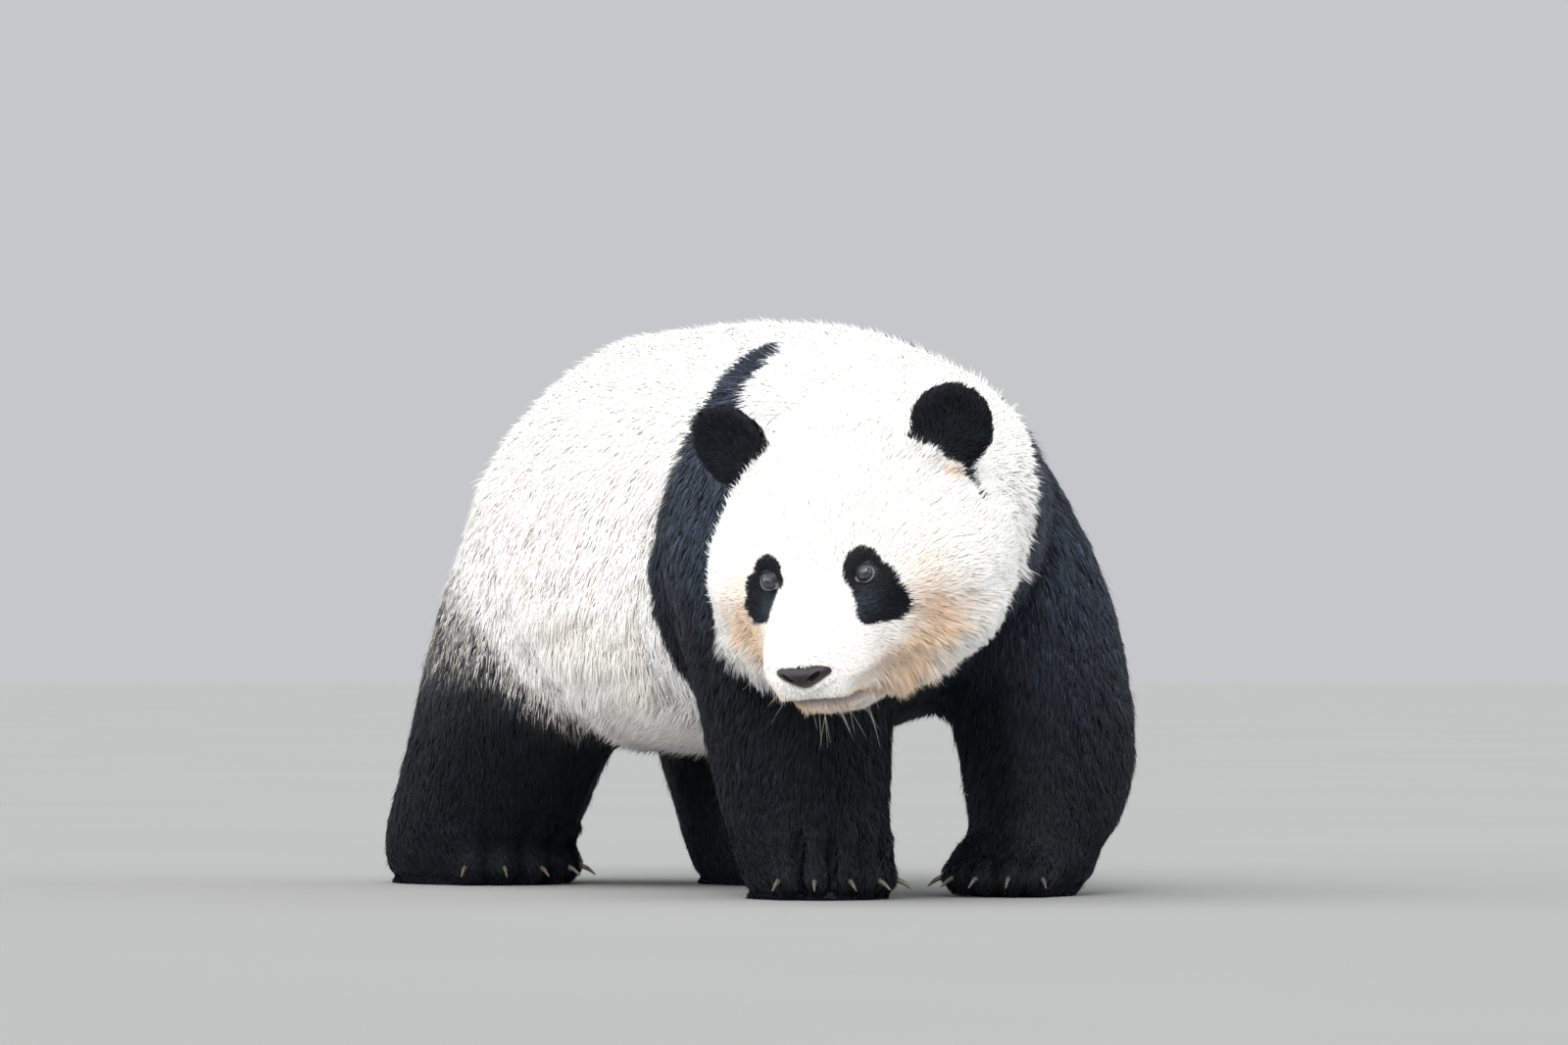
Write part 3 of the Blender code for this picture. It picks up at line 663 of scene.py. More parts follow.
def toe_shares(points):
    """How near a point is to the groove between two toes, and how far down the toes."""
    claws = [box_middle(node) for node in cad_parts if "claw" in node]
    reach = [np.linalg.norm((points - claw) * (1, 1, 0.55), axis=1) for claw in claws]
    nearest = np.partition(reach, 1, axis=0)
    return glow(nearest[1] - nearest[0], 0.007), fade(nearest[0], 0.065, 0.030)


def ruff_share(points):
    """How far a point is behind the white ruff, in metres; less than 0 on the ruff."""
    x, _, z = points.T
    edge = np.interp(z, *zip(*RUFF_EDGE)) + 0.11 * (x + 0.16)
    edge = edge + 0.035 * fade(x, -0.03, 0.02) * fade(z, 0.56, 0.62)
    edge = edge + 0.075 * fade(np.abs(x), 0.100, 0.015) * fade(z, 0.65, 0.69)
    return np.linalg.norm(points - HEAD_CENTRE, axis=1) - edge


# ---- skin
def joined_flesh():
    """All nodes of flesh, with the eyes and nose as filling, in one closed mesh."""
    mesh = bpy.data.meshes.new("skin")
    with editing(mesh) as form:
        for name in FLESH + ["eye_left", "eye_right", "nose"]:
            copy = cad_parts[name].data.copy()
            set_points(copy, mesh_points(copy) + mesh_normals(copy) * JOIN_GROWTH)
            form.from_mesh(copy)
            bpy.data.meshes.remove(copy)
        bmesh.ops.remove_doubles(form, verts=form.verts, dist=WELD)
    skin = add_object("skin", mesh)
    join = skin.modifiers.new("join", "REMESH")
    join.mode = "VOXEL"
    join.voxel_size = SKIN_VOXEL
    applied(skin)
    return skin


def refine_face(skin):
    """Splits the faces of the face once, for its folds."""
    share = face_share(in_head(mesh_points(skin.data)))
    with editing(skin.data) as form:
        edges = [e for e in form.edges if min(share[v.index] for v in e.verts) > 0.5]
        bmesh.ops.subdivide_edges(form, edges=edges, cuts=1, use_grid_fill=True)
        loose = [f for f in form.faces if len(f.verts) > 4]
        bmesh.ops.triangulate(form, faces=loose)


def nearest_regions(points):
    """For each point, the number of the region whose CAD node is nearest."""
    corners = []
    faces = []
    owners = []
    for name in FLESH:
        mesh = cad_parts[name].data
        region = next(i for i, r in enumerate(REGIONS) if name.startswith(r))
        first = len(corners)
        corners.extend(v.co.copy() for v in mesh.vertices)
        faces.extend([first + i for i in p.vertices] for p in mesh.polygons)
        owners.extend([region] * len(mesh.polygons))
    tree = BVHTree.FromPolygons(corners, faces)
    return np.array([owners[tree.find_nearest(Vector(p))[2]] for p in points])


def sink(skin, links, coat):
    """Moves the skin in from the coat's surface by the coat's depth."""
    points = coat.points.copy()
    for side in (-1, 1):
        offset = coat.local - EAR_PLACE * (side, 1, 1)
        reach = np.linalg.norm(offset, axis=1)
        rim = coat.of("ear") * fade(reach, 0.02, EAR_RADIUS) * (reach < 0.08)
        points -= (EAR_THINNING * rim)[:, None] * (offset @ HEAD_AXES)
    for _ in range(SINK_STEPS):
        normals = set_points(skin.data, points)
        points = points - normals * (coat.depth / SINK_STEPS)[:, None]
        points = links.smooth_shape(points, 1, np.full(len(points), 0.3))
    points[:, 2] = np.maximum(points[:, 2], FLOOR_GAP)
    return points


def settle(skin, links, points):
    """Draws the few points that fold over back between their neighbours."""
    for _ in range(SETTLE_ROUNDS):
        normals = set_points(skin.data, points)
        agreement = (normals * unit(links.mean(normals))).sum(1)
        folded = (agreement < 0.55).astype(float)
        near = np.minimum(folded + 2 * links.mean(folded), 1)
        points = mix(points, links.mean(points), near)
    return points


def make_skin():
    skin = joined_flesh()
    refine_face(skin)
    links = Links(skin.data)
    points = mesh_points(skin.data)
    weights = np.eye(len(REGIONS))[nearest_regions(points)]
    weights = links.smooth(weights, BORDER_ROUNDS)
    points = links.smooth_shape(points, SHAPE_ROUNDS, 1 - 0.5 * face_share(in_head(points)))
    coat = Coat(points, set_points(skin.data, points), weights)
    points = sink(skin, links, coat)
    points = open_eyes(carve_face(points, set_points(skin.data, points)))
    points = settle(skin, links, points)
    return skin, links, Coat(points, set_points(skin.data, points), weights)


# ---- markings
def eye_patch(local):
    """The slanting black patch round each eye."""
    left = local[:, 0] > 0
    flat = np.stack((np.abs(local[:, 0]), local[:, 2] - np.where(left, 0, 0.0035)), axis=1)
    radius = np.where(left, PATCH_RADIUS[1], PATCH_RADIUS[-1])
    reach = reach_of_line(flat, PATCH_TOP, PATCH_BOTTOM)[0]
    reach = np.minimum(reach, np.linalg.norm(flat - PATCH_BULGE, axis=1)) - radius
    reach = np.minimum(reach, np.linalg.norm(flat - PATCH_TEAR, axis=1) - TEAR_RADIUS)
    return (1 - fade(reach, -0.003, 0.002)) * fade(local[:, 1], 0.03, 0.06)


def wisp(local):
    """The dark hair that hangs from the foot of the left ear."""
    reach, share = reach_of_line(local, *WISP)
    return 0.95 * (1 - fade(reach, 0.002, 0.0105 - 0.005 * share))


def yoke(points):
    """The black band over the shoulders, between the white ruff and the white back."""
    x, y, z = points.T
    rear = np.interp(z, *zip(*YOKE_REAR)) - 0.8 * OVERHANG + 0.06 * fade(x, 0.02, 0.14)
    spread = 1.25 - 0.45 * fade(z, 0.60, 0.54) - 0.45 * fade(z, 0.66, 0.70)
    behind_ruff = ruff_share(points) + OVERHANG * spread
    return fade(rear - y, -0.008, 0.008) * fade(behind_ruff, -0.008, 0.008)


def hind_black(points):
    """The black of a hind leg, which greys out over the thigh."""
    x, y, z = points.T
    thigh_front = np.where(x > 0, 0.12, 0.235) + 0.57 * (z - 0.19) - OVERHANG
    rear = fade(y, 0.30, 0.46)
    low = fade(z, 0.440 + 0.060 * rear, 0.205 - 0.03 * rear)
    return low * np.maximum(fade(y - thigh_front, -0.04, 0.05), fade(z, 0.20, 0.15))


def markings(coat):
    """How black the coat is, and how far it is speckled grey, from 0 to 1."""
    z = coat.points[:, 2]
    fore, paws = coat.of("foreleg"), coat.of("forepaw", "hindpaw")
    rump = coat.of("trunk", "hindleg") * (coat.points[:, 1] > 0)
    areas = [
        (coat.of("neck", "trunk") + fore) * yoke(coat.points),
        fade(fore + paws, 0.25, 0.6) * fade(z, 0.25, 0.205),
        fade(rump, 0.2, 0.6) * hind_black(coat.points),
        fade(paws, 0.05, 0.3),
        fade(coat.of("ear"), 0.10, 0.30),
        coat.of("head") * eye_patch(coat.local),
    ]
    grizzle = fade(rump, 0.1, 0.4) * fade(z, 0.50, 0.44)
    return np.clip(np.max(areas, axis=0), 0, 1), grizzle


def stain(coat):
    """The tan of the cheeks, jaw and chin, from 0 to 1."""
    x, y, z = coat.local.T
    across = np.abs(x) + 0.018 * (x < 0)
    flat = np.stack((across, z), axis=1)
    cheek = reach_of_line(flat, (0.126, 0.010), (0.116, -0.045))[0]
    cheek = glow(cheek, np.where(x > 0, 0.023, 0.031)) * (1 - 0.68 * fade(z, -0.042, 0.008))
    jaw = 0.95 * glow(reach_of_line(flat, (0.116, -0.050), (0.062, -0.108))[0], 0.020)
    chin = 0.60 * fade(z, -0.102, -0.112) * fade(y, 0.13, 0.17)
    chin = chin * fade(np.abs(x), 0.045, 0.020)
    over_lip = glow(z - mouth_height(x) - 0.004, 0.005)
    chin = np.maximum(chin, 0.38 * over_lip * fade(y, 0.12, 0.15))
    brow = 0.07 * glow(across - 0.075, 0.03) * glow(z - 0.075, 0.03)
    tan = np.maximum(cheek * fade(y, 0.0, 0.06), jaw * fade(y, 0.0, 0.07)) + chin + brow
    tan = tan * (1 + 0.35 * value_noise(coat.points, 0.012, 31))
    # a faint tan, stronger towards the bottom of the trunk and tail
    low_tan = 0.10 + 0.08 * value_noise(coat.points, 0.07, 32)
    low = fade(coat.points[:, 2], 0.55, 0.20) * coat.of("trunk", "tail")
    return np.clip(coat.of("head") * tan + low * low_tan, 0, 1)


def lip_share(local):
    """1 on the dark line between the lips and the brown lower lip under it."""
    x, y, z = local.T
    offset = z - mouth_height(x)
    front = fade(y, 0.12, 0.15) * (1 - fade(np.abs(x), 0.036, 0.056))
    lower = 0.55 * fade(offset, -0.011, -0.006) * fade(offset, 0.001, -0.001)
    return np.clip(glow(offset, 0.0022) + lower, 0, 1) * front


# ---- lie of the coat
def body_lie(coat):
    """Back along the spine, down the sides, the chest and the rump."""
    _, ahead, up = coat.normals.T
    side = fade(1 - up, 0.15, 1.05)
    lie = np.stack((0 * side, 1 - 0.45 * side, -0.12 - 0.80 * side), axis=1)
    lie = mix(lie, (0, 1.0, -0.25), fade(up, -0.45, -0.95))
    lie = mix(lie, (0, 0.15, -1.0), fade(ahead, -0.30, -0.80))
    return mix(lie, (0, 0.35, -1.0), fade(ahead, 0.30, 0.85))


def neck_lie(coat):
    side = fade(1 - coat.normals[:, 2], 0.15, 1.05)
    away = unit(coat.points - HEAD_CENTRE)
    return away + np.array((0.35, 0.70, 0.05)) + (1.15 * side)[:, None] * DOWN


def head_lie(coat):
    """Away from the nose, and sagging where the hair is long."""
    _, forward, up = coat.local.T
    away = unit(coat.local - np.array((0.0, 0.27, -0.045))) @ HEAD_AXES
    jaw = fade(up, -0.05, -0.11) * fade(forward, 0.17, 0.13)
    sag = 0.10 + 0.45 * fade(up, 0.01, -0.07) + 0.75 * jaw
    return away + sag[:, None] * DOWN


def ear_lie(coat, side):
    tip = np.array((side * math.sin(EAR_LEAN), 0, math.cos(EAR_LEAN)))
    foot = EAR_PLACE * (side, 1, 1) - tip * EAR_HEIGHT
    return unit(coat.local - foot) @ HEAD_AXES


def lie_of_coat(coat, links):
    """Unit vectors along the skin, from root to tip of the hair."""
    sharp = coat.weights
    coat.weights = links.smooth(sharp, 30)
    ways = {
        "trunk": unit(body_lie(coat)),
        "neck": unit(neck_lie(coat)),
        "head": unit(head_lie(coat)),
        "ear_left": ear_lie(coat, 1),
        "ear_right": ear_lie(coat, -1),
        "foreleg": (0, 0.20, -0.98),
        "hindleg": (0, 0.20, -0.98),
        "tail": (0, 0.15, -0.99),
    }
    for paw, heading in PAW_HEADINGS.items():
        turn = math.radians(heading)
        ways[paw] = (-0.55 * math.sin(turn), -0.55 * math.cos(turn), -0.80)
    lie = sum(coat.of(region)[:, None] * np.array(way) for region, way in ways.items())
    coat.weights = sharp
    for _ in range(8):
        lie = links.smooth(flattened(lie, coat.normals), 2)
    return unit(flattened(lie, coat.normals))


def flattened(vectors, normals):
    """The vectors without their part along the normals."""
    return vectors - normals * (vectors * normals).sum(1)[:, None]


def curvature_along(points, normals, lie, links):
    """How fast the skin bends away along the hair, in 1/m."""
    step = points[links.end] - points[links.start]
    length = np.maximum(np.linalg.norm(step, axis=1), 1e-6)
    turn = normals[links.end] - normals[links.start]
    bend = (turn * step).sum(1) / length**2
    aligned = ((step * lie[links.start]).sum(1) / length) ** 4 + 1e-6
    curve = links.total(bend * aligned) / links.total(aligned)
    return np.clip(links.smooth(curve, 4), -12, 26)


# ---- tufts
def sample_roots(mesh, coat):
    """Root places: corner numbers and shares of each root's triangle."""
    mesh.calc_loop_triangles()
    triangles = read_array(mesh.loop_triangles, "vertices", 3, np.int32)
    a, b, c = (coat.points[triangles[:, i]] for i in range(3))
    area = 0.5 * np.linalg.norm(np.cross(b - a, c - a), axis=1)
    wanted = area * coat.density[triangles].mean(1)
    counts = np.floor(wanted + rng.random(len(wanted))).astype(int)
    corners = np.repeat(triangles, counts, axis=0)
    first = np.sqrt(rng.random(len(corners)))
    second = rng.random(len(corners))
    return corners, np.stack((1 - first, first * (1 - second), first * second), axis=1)


def turned(vector, axis, angle):
    """Each vector turned about an axis that is square to it."""
    return vector * np.cos(angle)[:, None] + np.cross(axis, vector) * np.sin(angle)[:, None]


def lock_means(root, tip, length):
    """The mean tip of the blades of each blade's lock, a small cell of the coat."""
    step = np.maximum(np.round(length / LOCK_STEP), 1)
    wobble = np.stack([value_noise(root, 0.011, seed) for seed in (5, 6, 7)], axis=1)
    cell = np.floor(root / (LOCK_SIZE * step)[:, None] + 0.55 * wobble).astype(np.int64)
    key = cell @ HASH + STEP_HASH * step.astype(np.int64)
    _, group = np.unique(key, return_inverse=True)
    counts = np.bincount(group)
    means = [np.bincount(group, column) / counts for column in tip.T]
    return np.stack(means, axis=1)[group]


def grow_tufts(skin, links, coat):
    """Places, colours and normals of all blades, as a dictionary of arrays."""
    lie = lie_of_coat(coat, links)
    curve = curvature_along(coat.points, coat.normals, lie, links)
    corners, shares = sample_roots(skin.data, coat)

    def at_roots(values):
        if values.ndim == 1:
            return (values[corners] * shares).sum(1)
        return np.einsum("ijk,ij->ik", values[corners], shares)

    root = at_roots(coat.points)
    normal = unit(at_roots(coat.normals))
    soft = unit(at_roots(unit(links.smooth(coat.normals, 12))))
    along = unit(at_roots(lie))
    count = len(root)
    local = in_head(root)
    lips = lip_share(local)
    ragged = at_roots(coat.ragged)
    lock = value_noise(root, 0.009, 3)

    waves = 0.16 * value_noise(root, 0.065, 1) + 0.13 * value_noise(root, 0.015, 2)
    along = turned(along, normal, waves + rng.normal(0, TURN_SPREAD, count))
    along = unit(flattened(along, normal))
    uneven = 0.10 * value_noise(root, 0.02, 4) + rng.uniform(*LENGTH_SPREAD, count)
    length = at_roots(coat.length) * (1 + uneven)
    length = length * (1 + 0.36 * ragged * value_noise(root, 0.010, 8))
    length = length * (1 - LIP_SHORTER * lips)
    lift = np.maximum(at_roots(coat.loft), LEAST_LOFT * length)
    lift = lift * (0.94 + (0.04 + 0.46 * ragged) * lock + rng.normal(0, LIFT_SPREAD, count))
    guard = rng.random(count) < GUARD_SHARE
    lift = np.where(guard, lift * rng.uniform(*GUARD_LIFT, count), lift)
    lift = np.clip(lift, LIFT_LIMITS[0] * length, LIFT_LIMITS[1] * length)
    run = np.sqrt(length**2 - lift**2)

    bend = at_roots(curve)
    stiff = np.where(guard, 1.0, 0.75 * ragged)
    middle_run = run * SEGMENT
    middle_rise = mix(0.88, 0.66, stiff) * lift - bend * middle_run**2 / 2
    tip_rise = mix(0.84, 1.0, stiff) * lift - bend * run**2 / 2
    middle = root + along * middle_run[:, None] + normal * middle_rise[:, None]
    tip = root + along * run[:, None] + normal * tip_rise[:, None]
    sag = at_roots(coat.sag) * length
    tip[:, 2] -= sag
    middle[:, 2] -= sag * MIDDLE_FOLLOW
    pull = at_roots(coat.clump) * rng.uniform(*PULL_SPREAD, count)
    goal = lock_means(root, tip, length) - tip
    tip = tip + goal * pull[:, None]
    middle = middle + goal * (MIDDLE_FOLLOW * pull)[:, None]
    base = root - normal * ROOT_DEPTH

    across = np.cross(normal, along)
    tilt = rng.normal(0, TILT_SPREAD, count)
    across = unit(across * np.cos(tilt)[:, None] + normal * np.sin(tilt)[:, None])
    width = at_roots(coat.width) * rng.uniform(*WIDTH_SPREAD, count)
    half = across * (np.where(guard, GUARD_WIDTH * width, width) / 2)[:, None]
    foot = half * FOOT_WIDTH
    places = np.stack((base - foot, base + foot, middle + half, middle - half, tip), axis=1)
    places[:, :, 2] = np.maximum(places[:, :, 2], FLOOR_GAP + 0.0001)

    black = np.maximum(at_roots(coat.black), wisp(local))
    lean = soft + 0.08 * along + rng.normal(0, NORMAL_SPREAD, (count, 3))
    lean = unit(lean - (WHITE_UPWARD * (1 - black))[:, None] * DOWN)
    left = unit(lean + ROUNDING * across)
    right = unit(lean - ROUNDING * across)
    shade = np.stack((right, left, left, right, unit(lean + 0.25 * along)), axis=1)

    bare = glow(np.linalg.norm(local - EAR_SKIN, axis=1), EAR_SKIN_SIZE)
    tan = np.clip(at_roots(coat.tan) + 0.9 * bare, 0, 1)
    ash = glow(np.abs(local[:, 0]) - 0.057, 0.014) * glow(local[:, 2] + 0.014, 0.013)
    ash *= 0.9 * fade(local[:, 1], 0.05, 0.08)
    # the black of the upper shoulders is painted lighter and bluer: painted sheen from above
    start = 0.29 - 0.17 * fade(root[:, 0], -0.02, 0.04)
    shoulder_sheen = fade(root[:, 2], start, 0.46) * fade(root[:, 1], 0.05, 0.0)
    shoulder_sheen = shoulder_sheen * (1 - at_roots(coat.of("head", "ear")))
    ash_and_sheen = np.maximum(ash, shoulder_sheen)
    colour = tuft_colours(black, tan, at_roots(coat.grizzle), ash_and_sheen, lock)
    colour = colour * (1 - lips)[:, None, None] + LIP * lips[:, None, None]
    owner = np.argmax(coat.weights, axis=1)[corners[:, 0]]
    return dict(root=root, soft=soft, places=places, shade=shade, colour=colour, owner=owner)


def tuft_colours(black, tan, grizzle, ash_and_sheen, lock):
    """Linear colours at a blade's foot, bend and tip; the foot is darker than the tip as
    painted shade between the blades.
    """
    count = len(black)
    edge = 1 - np.abs(2 * black - 1)
    spread = 0.62 + 0.75 * grizzle
    pick = fade(black + spread * (rng.random(count) - 0.5) * edge, 0.30, 0.70)
    tone = 1 + 0.03 * lock + rng.normal(0, TONE_SPREAD, count)
    tan = np.clip(tan * (1 + rng.normal(0, TAN_SPREAD, count)), 0, 1)
    smoke = np.clip(grizzle * fade(black, 0.02, 0.45) * rng.uniform(0.1, 1.2, count), 0, 1)
    dark = rng.normal(1, DARK_SPREAD, count) * (1 + 0.35 * lock)
    dark = np.clip(dark + GLINT * (rng.random(count) < GLINT_SHARE), *DARK_LIMITS)
    white_tip = mix(WHITE_TIP[None, :], TAN * 1.03, 0.95 * tan)
    white_tip = mix(white_tip, GRIZZLE * 1.5, smoke) * tone[:, None]
    white_root = mix(WHITE_ROOT[None, :], TAN * 0.84, tan)
    white_root = mix(white_root, GRIZZLE * 0.8, np.maximum(smoke, 0.6 * grizzle * edge))
    # black tips lighter and bluer: painted sheen on the shoulders, own grey under the eyes
    black_tip = mix(BLACK_TIP[None, :], ASH_AND_SHEEN_TIP, ash_and_sheen) * dark[:, None]
    mixed = (edge * (0.15 + 0.85 * grizzle))[:, None]
    black_tip = black_tip * (1 + 1.6 * mixed) + mixed * BLACK_EDGE
    # feet darker than tips: painted shade between the blades
    foot = mix(white_root, BLACK_ROOT[None, :], pick)
    tip = mix(white_tip, black_tip, pick)
    bend = 0.35 * foot + 0.65 * tip
    return np.clip(np.stack((foot, foot, bend, bend, tip), axis=1), DARKEST, LIGHTEST)


def box_map(root, facing):
    """Each root's place on a box unwrap of the piece, in a grid of three by two."""
    axis = np.argmax(np.abs(facing), axis=1)
    rows = np.arange(len(root))
    low, high = root.min(0), root.max(0)
    share = (root - low) / np.maximum(high - low, 1e-6)
    first, second = share[rows, (axis + 1) % 3], share[rows, (axis + 2) % 3]
    u = (axis + 0.02 + 0.95 * first) / 3
    v = ((facing[rows, axis] > 0) + 0.02 + 0.95 * second) / 2
    return np.stack((u, v), axis=1)


def write_map(mesh, spots, corners):
    """The map for baking, from a spot for each vertex."""
    bake_map = mesh.uv_layers.new(name="OFBake")
    write_array(bake_map.data, "uv", spots.reshape(-1, 2)[corners])


def tuft_piece(name, tufts, chosen, material, slot):
    """One coat piece of the chosen blades."""
    count = int(chosen.sum())
    if count > PIECE_LIMIT:
        raise ValueError(f"{name} has {count} blades")
    mesh = bpy.data.meshes.new(name)
    mesh.vertices.add(count * 5)
    write_array(mesh.vertices, "co", tufts["places"][chosen])
    corners = (np.arange(count)[:, None] * 5 + BLADE).ravel()
    mesh.loops.add(len(corners))
    write_array(mesh.loops, "vertex_index", corners, np.int32)
    mesh.polygons.add(count * 3)
    write_array(mesh.polygons, "loop_start", np.arange(0, len(corners), 3), np.int32)
    mesh.update(calc_edges=True)
    paint(mesh, tufts["colour"][chosen])
    place = box_map(tufts["root"][chosen], tufts["soft"][chosen])
    write_map(mesh, place[:, None, :] + PATCH_CORNERS, corners)
    facing = mesh.attributes.new("custom_normal", "FLOAT_VECTOR", "POINT")
    write_array(facing.data, "vector", tufts["shade"][chosen])
    finish_piece(add_object(name, mesh), material, slot)


def split_coat(tufts, material):
    """Shares the blades out over named pieces, each under the limit."""
    x, y, _ = tufts["root"].T
    forward = in_head(tufts["root"])[:, 1]

    def of(start):
        numbers = [i for i, region in enumerate(REGIONS) if region.startswith(start)]
        return np.isin(tufts["owner"], numbers)

    head, trunk = of("head"), of("trunk")
    face = head & (forward > FACE_FORWARD)
    muzzle = face & (forward > MUZZLE_FORWARD)
    groups = {
        "coat_muzzle": muzzle,
        "coat_face": face & ~muzzle,
        "coat_head": head & ~face,
        "coat_ears": of("ear"),
        "coat_neck": of("neck"),
    }
    for end, there in (("front", y < TRUNK_MIDDLE), ("rear", y >= TRUNK_MIDDLE)):
        groups[f"coat_trunk_{end}_left"] = trunk & there & (x > 0)
        groups[f"coat_trunk_{end}_right"] = trunk & there & (x <= 0)
    groups["coat_tail"] = of("tail")
    for leg in ("foreleg_left", "foreleg_right", "hindleg_left", "hindleg_right"):
        groups[f"coat_{leg}"] = of(leg)
    groups["coat_forepaws"] = of("forepaw")
    groups["coat_hindpaws"] = of("hindpaw")
    for name, chosen in groups.items():
        dark = name.startswith(("coat_ears", "coat_fore", "coat_hind"))
        tuft_piece(name, tufts, chosen, material, "coat_black" if dark else "coat_white")


# ---- materials
class Surface:
    """A material with one fine texture in the object's own coordinates."""

    def __init__(self, name, kind, output, **sockets):
        self.material = bpy.data.materials.new(name)
        self.material.use_nodes = True
        self.tree = self.material.node_tree
        place = self.node("TexCoord").outputs["Object"]
        self.grain = self.node(kind, {"Vector": place, **sockets}).outputs[output]

    def node(self, kind, sockets=None, **settings):
        """A new node of this kind, with its settings and sockets."""
        made = self.tree.nodes.new("ShaderNode" + kind)
        for key, value in settings.items():
            setattr(made, key, value)
        return self.fill(made, sockets or {})

    def fill(self, node, sockets):
        """Sets each socket to its value, or joins it to another node's output."""
        for key, value in sockets.items():
            if isinstance(value, bpy.types.NodeSocket):
                self.tree.links.new(value, node.inputs[key])
            else:
                node.inputs[key].default_value = value
        return node

    def spread(self, low, high, top=1.0):
        """The grain, spread over the values from low to high."""
        sockets = {"Value": self.grain, "From Max": top, "To Min": low, "To Max": high}
        return self.node("MapRange", sockets).outputs["Result"]

    def painted(self, tone):
        """The mesh's own colours times the tone."""
        colour = self.node("Attribute", attribute_name="coat_colour").outputs["Color"]
        sockets = {"Vector": colour, "Scale": tone}
        return self.node("VectorMath", sockets, operation="SCALE").outputs["Vector"]

    def ramp(self, dark, light, start=0.0, end=1.0):
        """Colours from dark to light along the grain."""
        ramp = self.node("ValToRGB", {"Fac": self.grain})
        stops = ramp.color_ramp.elements
        for stop, position, colour in zip(stops, (start, end), (dark, light)):
            stop.position = position
            stop.color = (*colour, 1)
        return ramp.outputs["Color"]

    def bump(self, strength, distance, invert=False):
        sockets = {"Height": self.grain, "Strength": strength, "Distance": distance}
        return self.node("Bump", sockets, invert=invert).outputs["Normal"]

    def finish(self, colour, roughness, sockets):
        shader = self.tree.nodes["Principled BSDF"]
        self.fill(shader, {"Base Color": colour, "Roughness": roughness, **sockets})
        return self.material


def coat_material():
    fur = Surface("panda_coat", "TexNoise", "Fac", Scale=260, Detail=3)
    sheen = {
        "Specular IOR Level": 0.18,
        "Sheen Weight": 0.02,
        "Sheen Roughness": 0.45,
        "Sheen Tint": (0.72, 0.82, 1.0, 1.0),
    }
    return fur.finish(fur.painted(fur.spread(0.92, 1.05)), fur.spread(0.48, 0.70), sheen)


def skin_material():
    pores = Surface("panda_skin", "TexNoise", "Fac", Scale=420, Detail=4)
    tone = pores.spread(0.75, 1.15)
    return pores.finish(pores.painted(tone), 0.7, {"Normal": pores.bump(0.5, 0.0015)})


def wet_material():
    veins = Surface("eyeball", "TexNoise", "Fac", Scale=900)
    gloss = {
        "Specular IOR Level": 0.30,
        "Coat Weight": 0.8,
        "Coat IOR": 1.6,
        "Coat Roughness": 0.02,
    }
    return veins.finish(veins.painted(veins.spread(0.7, 1.3)), 0.22, gloss)


def leather_material(name, scale, roughness, coat_weight):
    """Wet or dry bare skin: pebbled bump over the piece's own colours."""
    pebbles = Surface(name, "TexVoronoi", "Distance", Scale=scale)
    gloss = {
        "Normal": pebbles.bump(0.45, 0.0006, invert=True),
        "Specular IOR Level": 0.35,
        "Coat Weight": coat_weight,
        "Coat Roughness": 0.3,
    }
    return pebbles.finish(pebbles.painted(pebbles.spread(1.2, 0.7, top=0.8)), roughness, gloss)


def claw_material():
    streaks = Surface("claw_horn", "TexNoise", "Fac", Scale=260, Detail=4)
    colour = streaks.ramp((0.050, 0.042, 0.034), (0.17, 0.145, 0.115), 0.3, 0.75)
    return streaks.finish(colour, 0.35, {"Normal": streaks.bump(0.25, 0.0005)})


def floor_material():
    clouds = Surface("studio_floor", "TexNoise", "Fac", Scale=0.8)
    colour = clouds.ramp((0.325, 0.325, 0.322), (0.350, 0.350, 0.346))
    return clouds.finish(colour, 0.9, {"Specular IOR Level": 0.0})


# ---- eyes, nose, mouth, claws
def turns_of(count):
    return np.linspace(0, 2 * math.pi, count, endpoint=False)


def ellipse(middle, turns, first, second):
    """Points round the middle, with the two half axes given."""
    return middle + np.outer(np.cos(turns), first) + np.outer(np.sin(turns), second)


def square_axes(axis, hint):
    """Two unit vectors square to the axis, the second nearest to the hint."""
    second = unit(hint - axis * (hint @ axis))
    return np.cross(second, axis), second


def ring_mesh(name, rings, capped=True):
    """A mesh through rings of points, which all have the same number of them."""
    sides = len(rings[0])
    last = (len(rings) - 1) * sides
    faces = []
    for i, j in itertools.product(range(0, last, sides), range(sides)):
        k = (j + 1) % sides
        faces.append((i + j, i + k, i + sides + k, i + sides + j))
    if capped:
        faces.append(range(sides - 1, -1, -1))
        faces.append(range(last, last + sides))
    mesh = bpy.data.meshes.new(name)
    mesh.from_pydata(np.concatenate(rings).tolist(), [], faces)
    with editing(mesh) as form:
        bmesh.ops.recalc_face_normals(form, faces=form.faces)
    mesh.shade_smooth()
    return mesh


def painted_rings(name, rings, colours, capped=True):
    """An object through rings of points in the head, with a colour for each point."""
    mesh = ring_mesh(name, [out_of_head(ring) for ring in rings], capped)
    paint(mesh, np.concatenate(colours))
    return add_object(name, mesh)


def cast(tree, start, toward, reach):
    """Where a ray in the head's frame meets the skin, and its normal there."""
    way = np.asarray(toward) @ HEAD_AXES
    return tree.ray_cast(Vector(out_of_head(start)), Vector(way), reach)[:2]


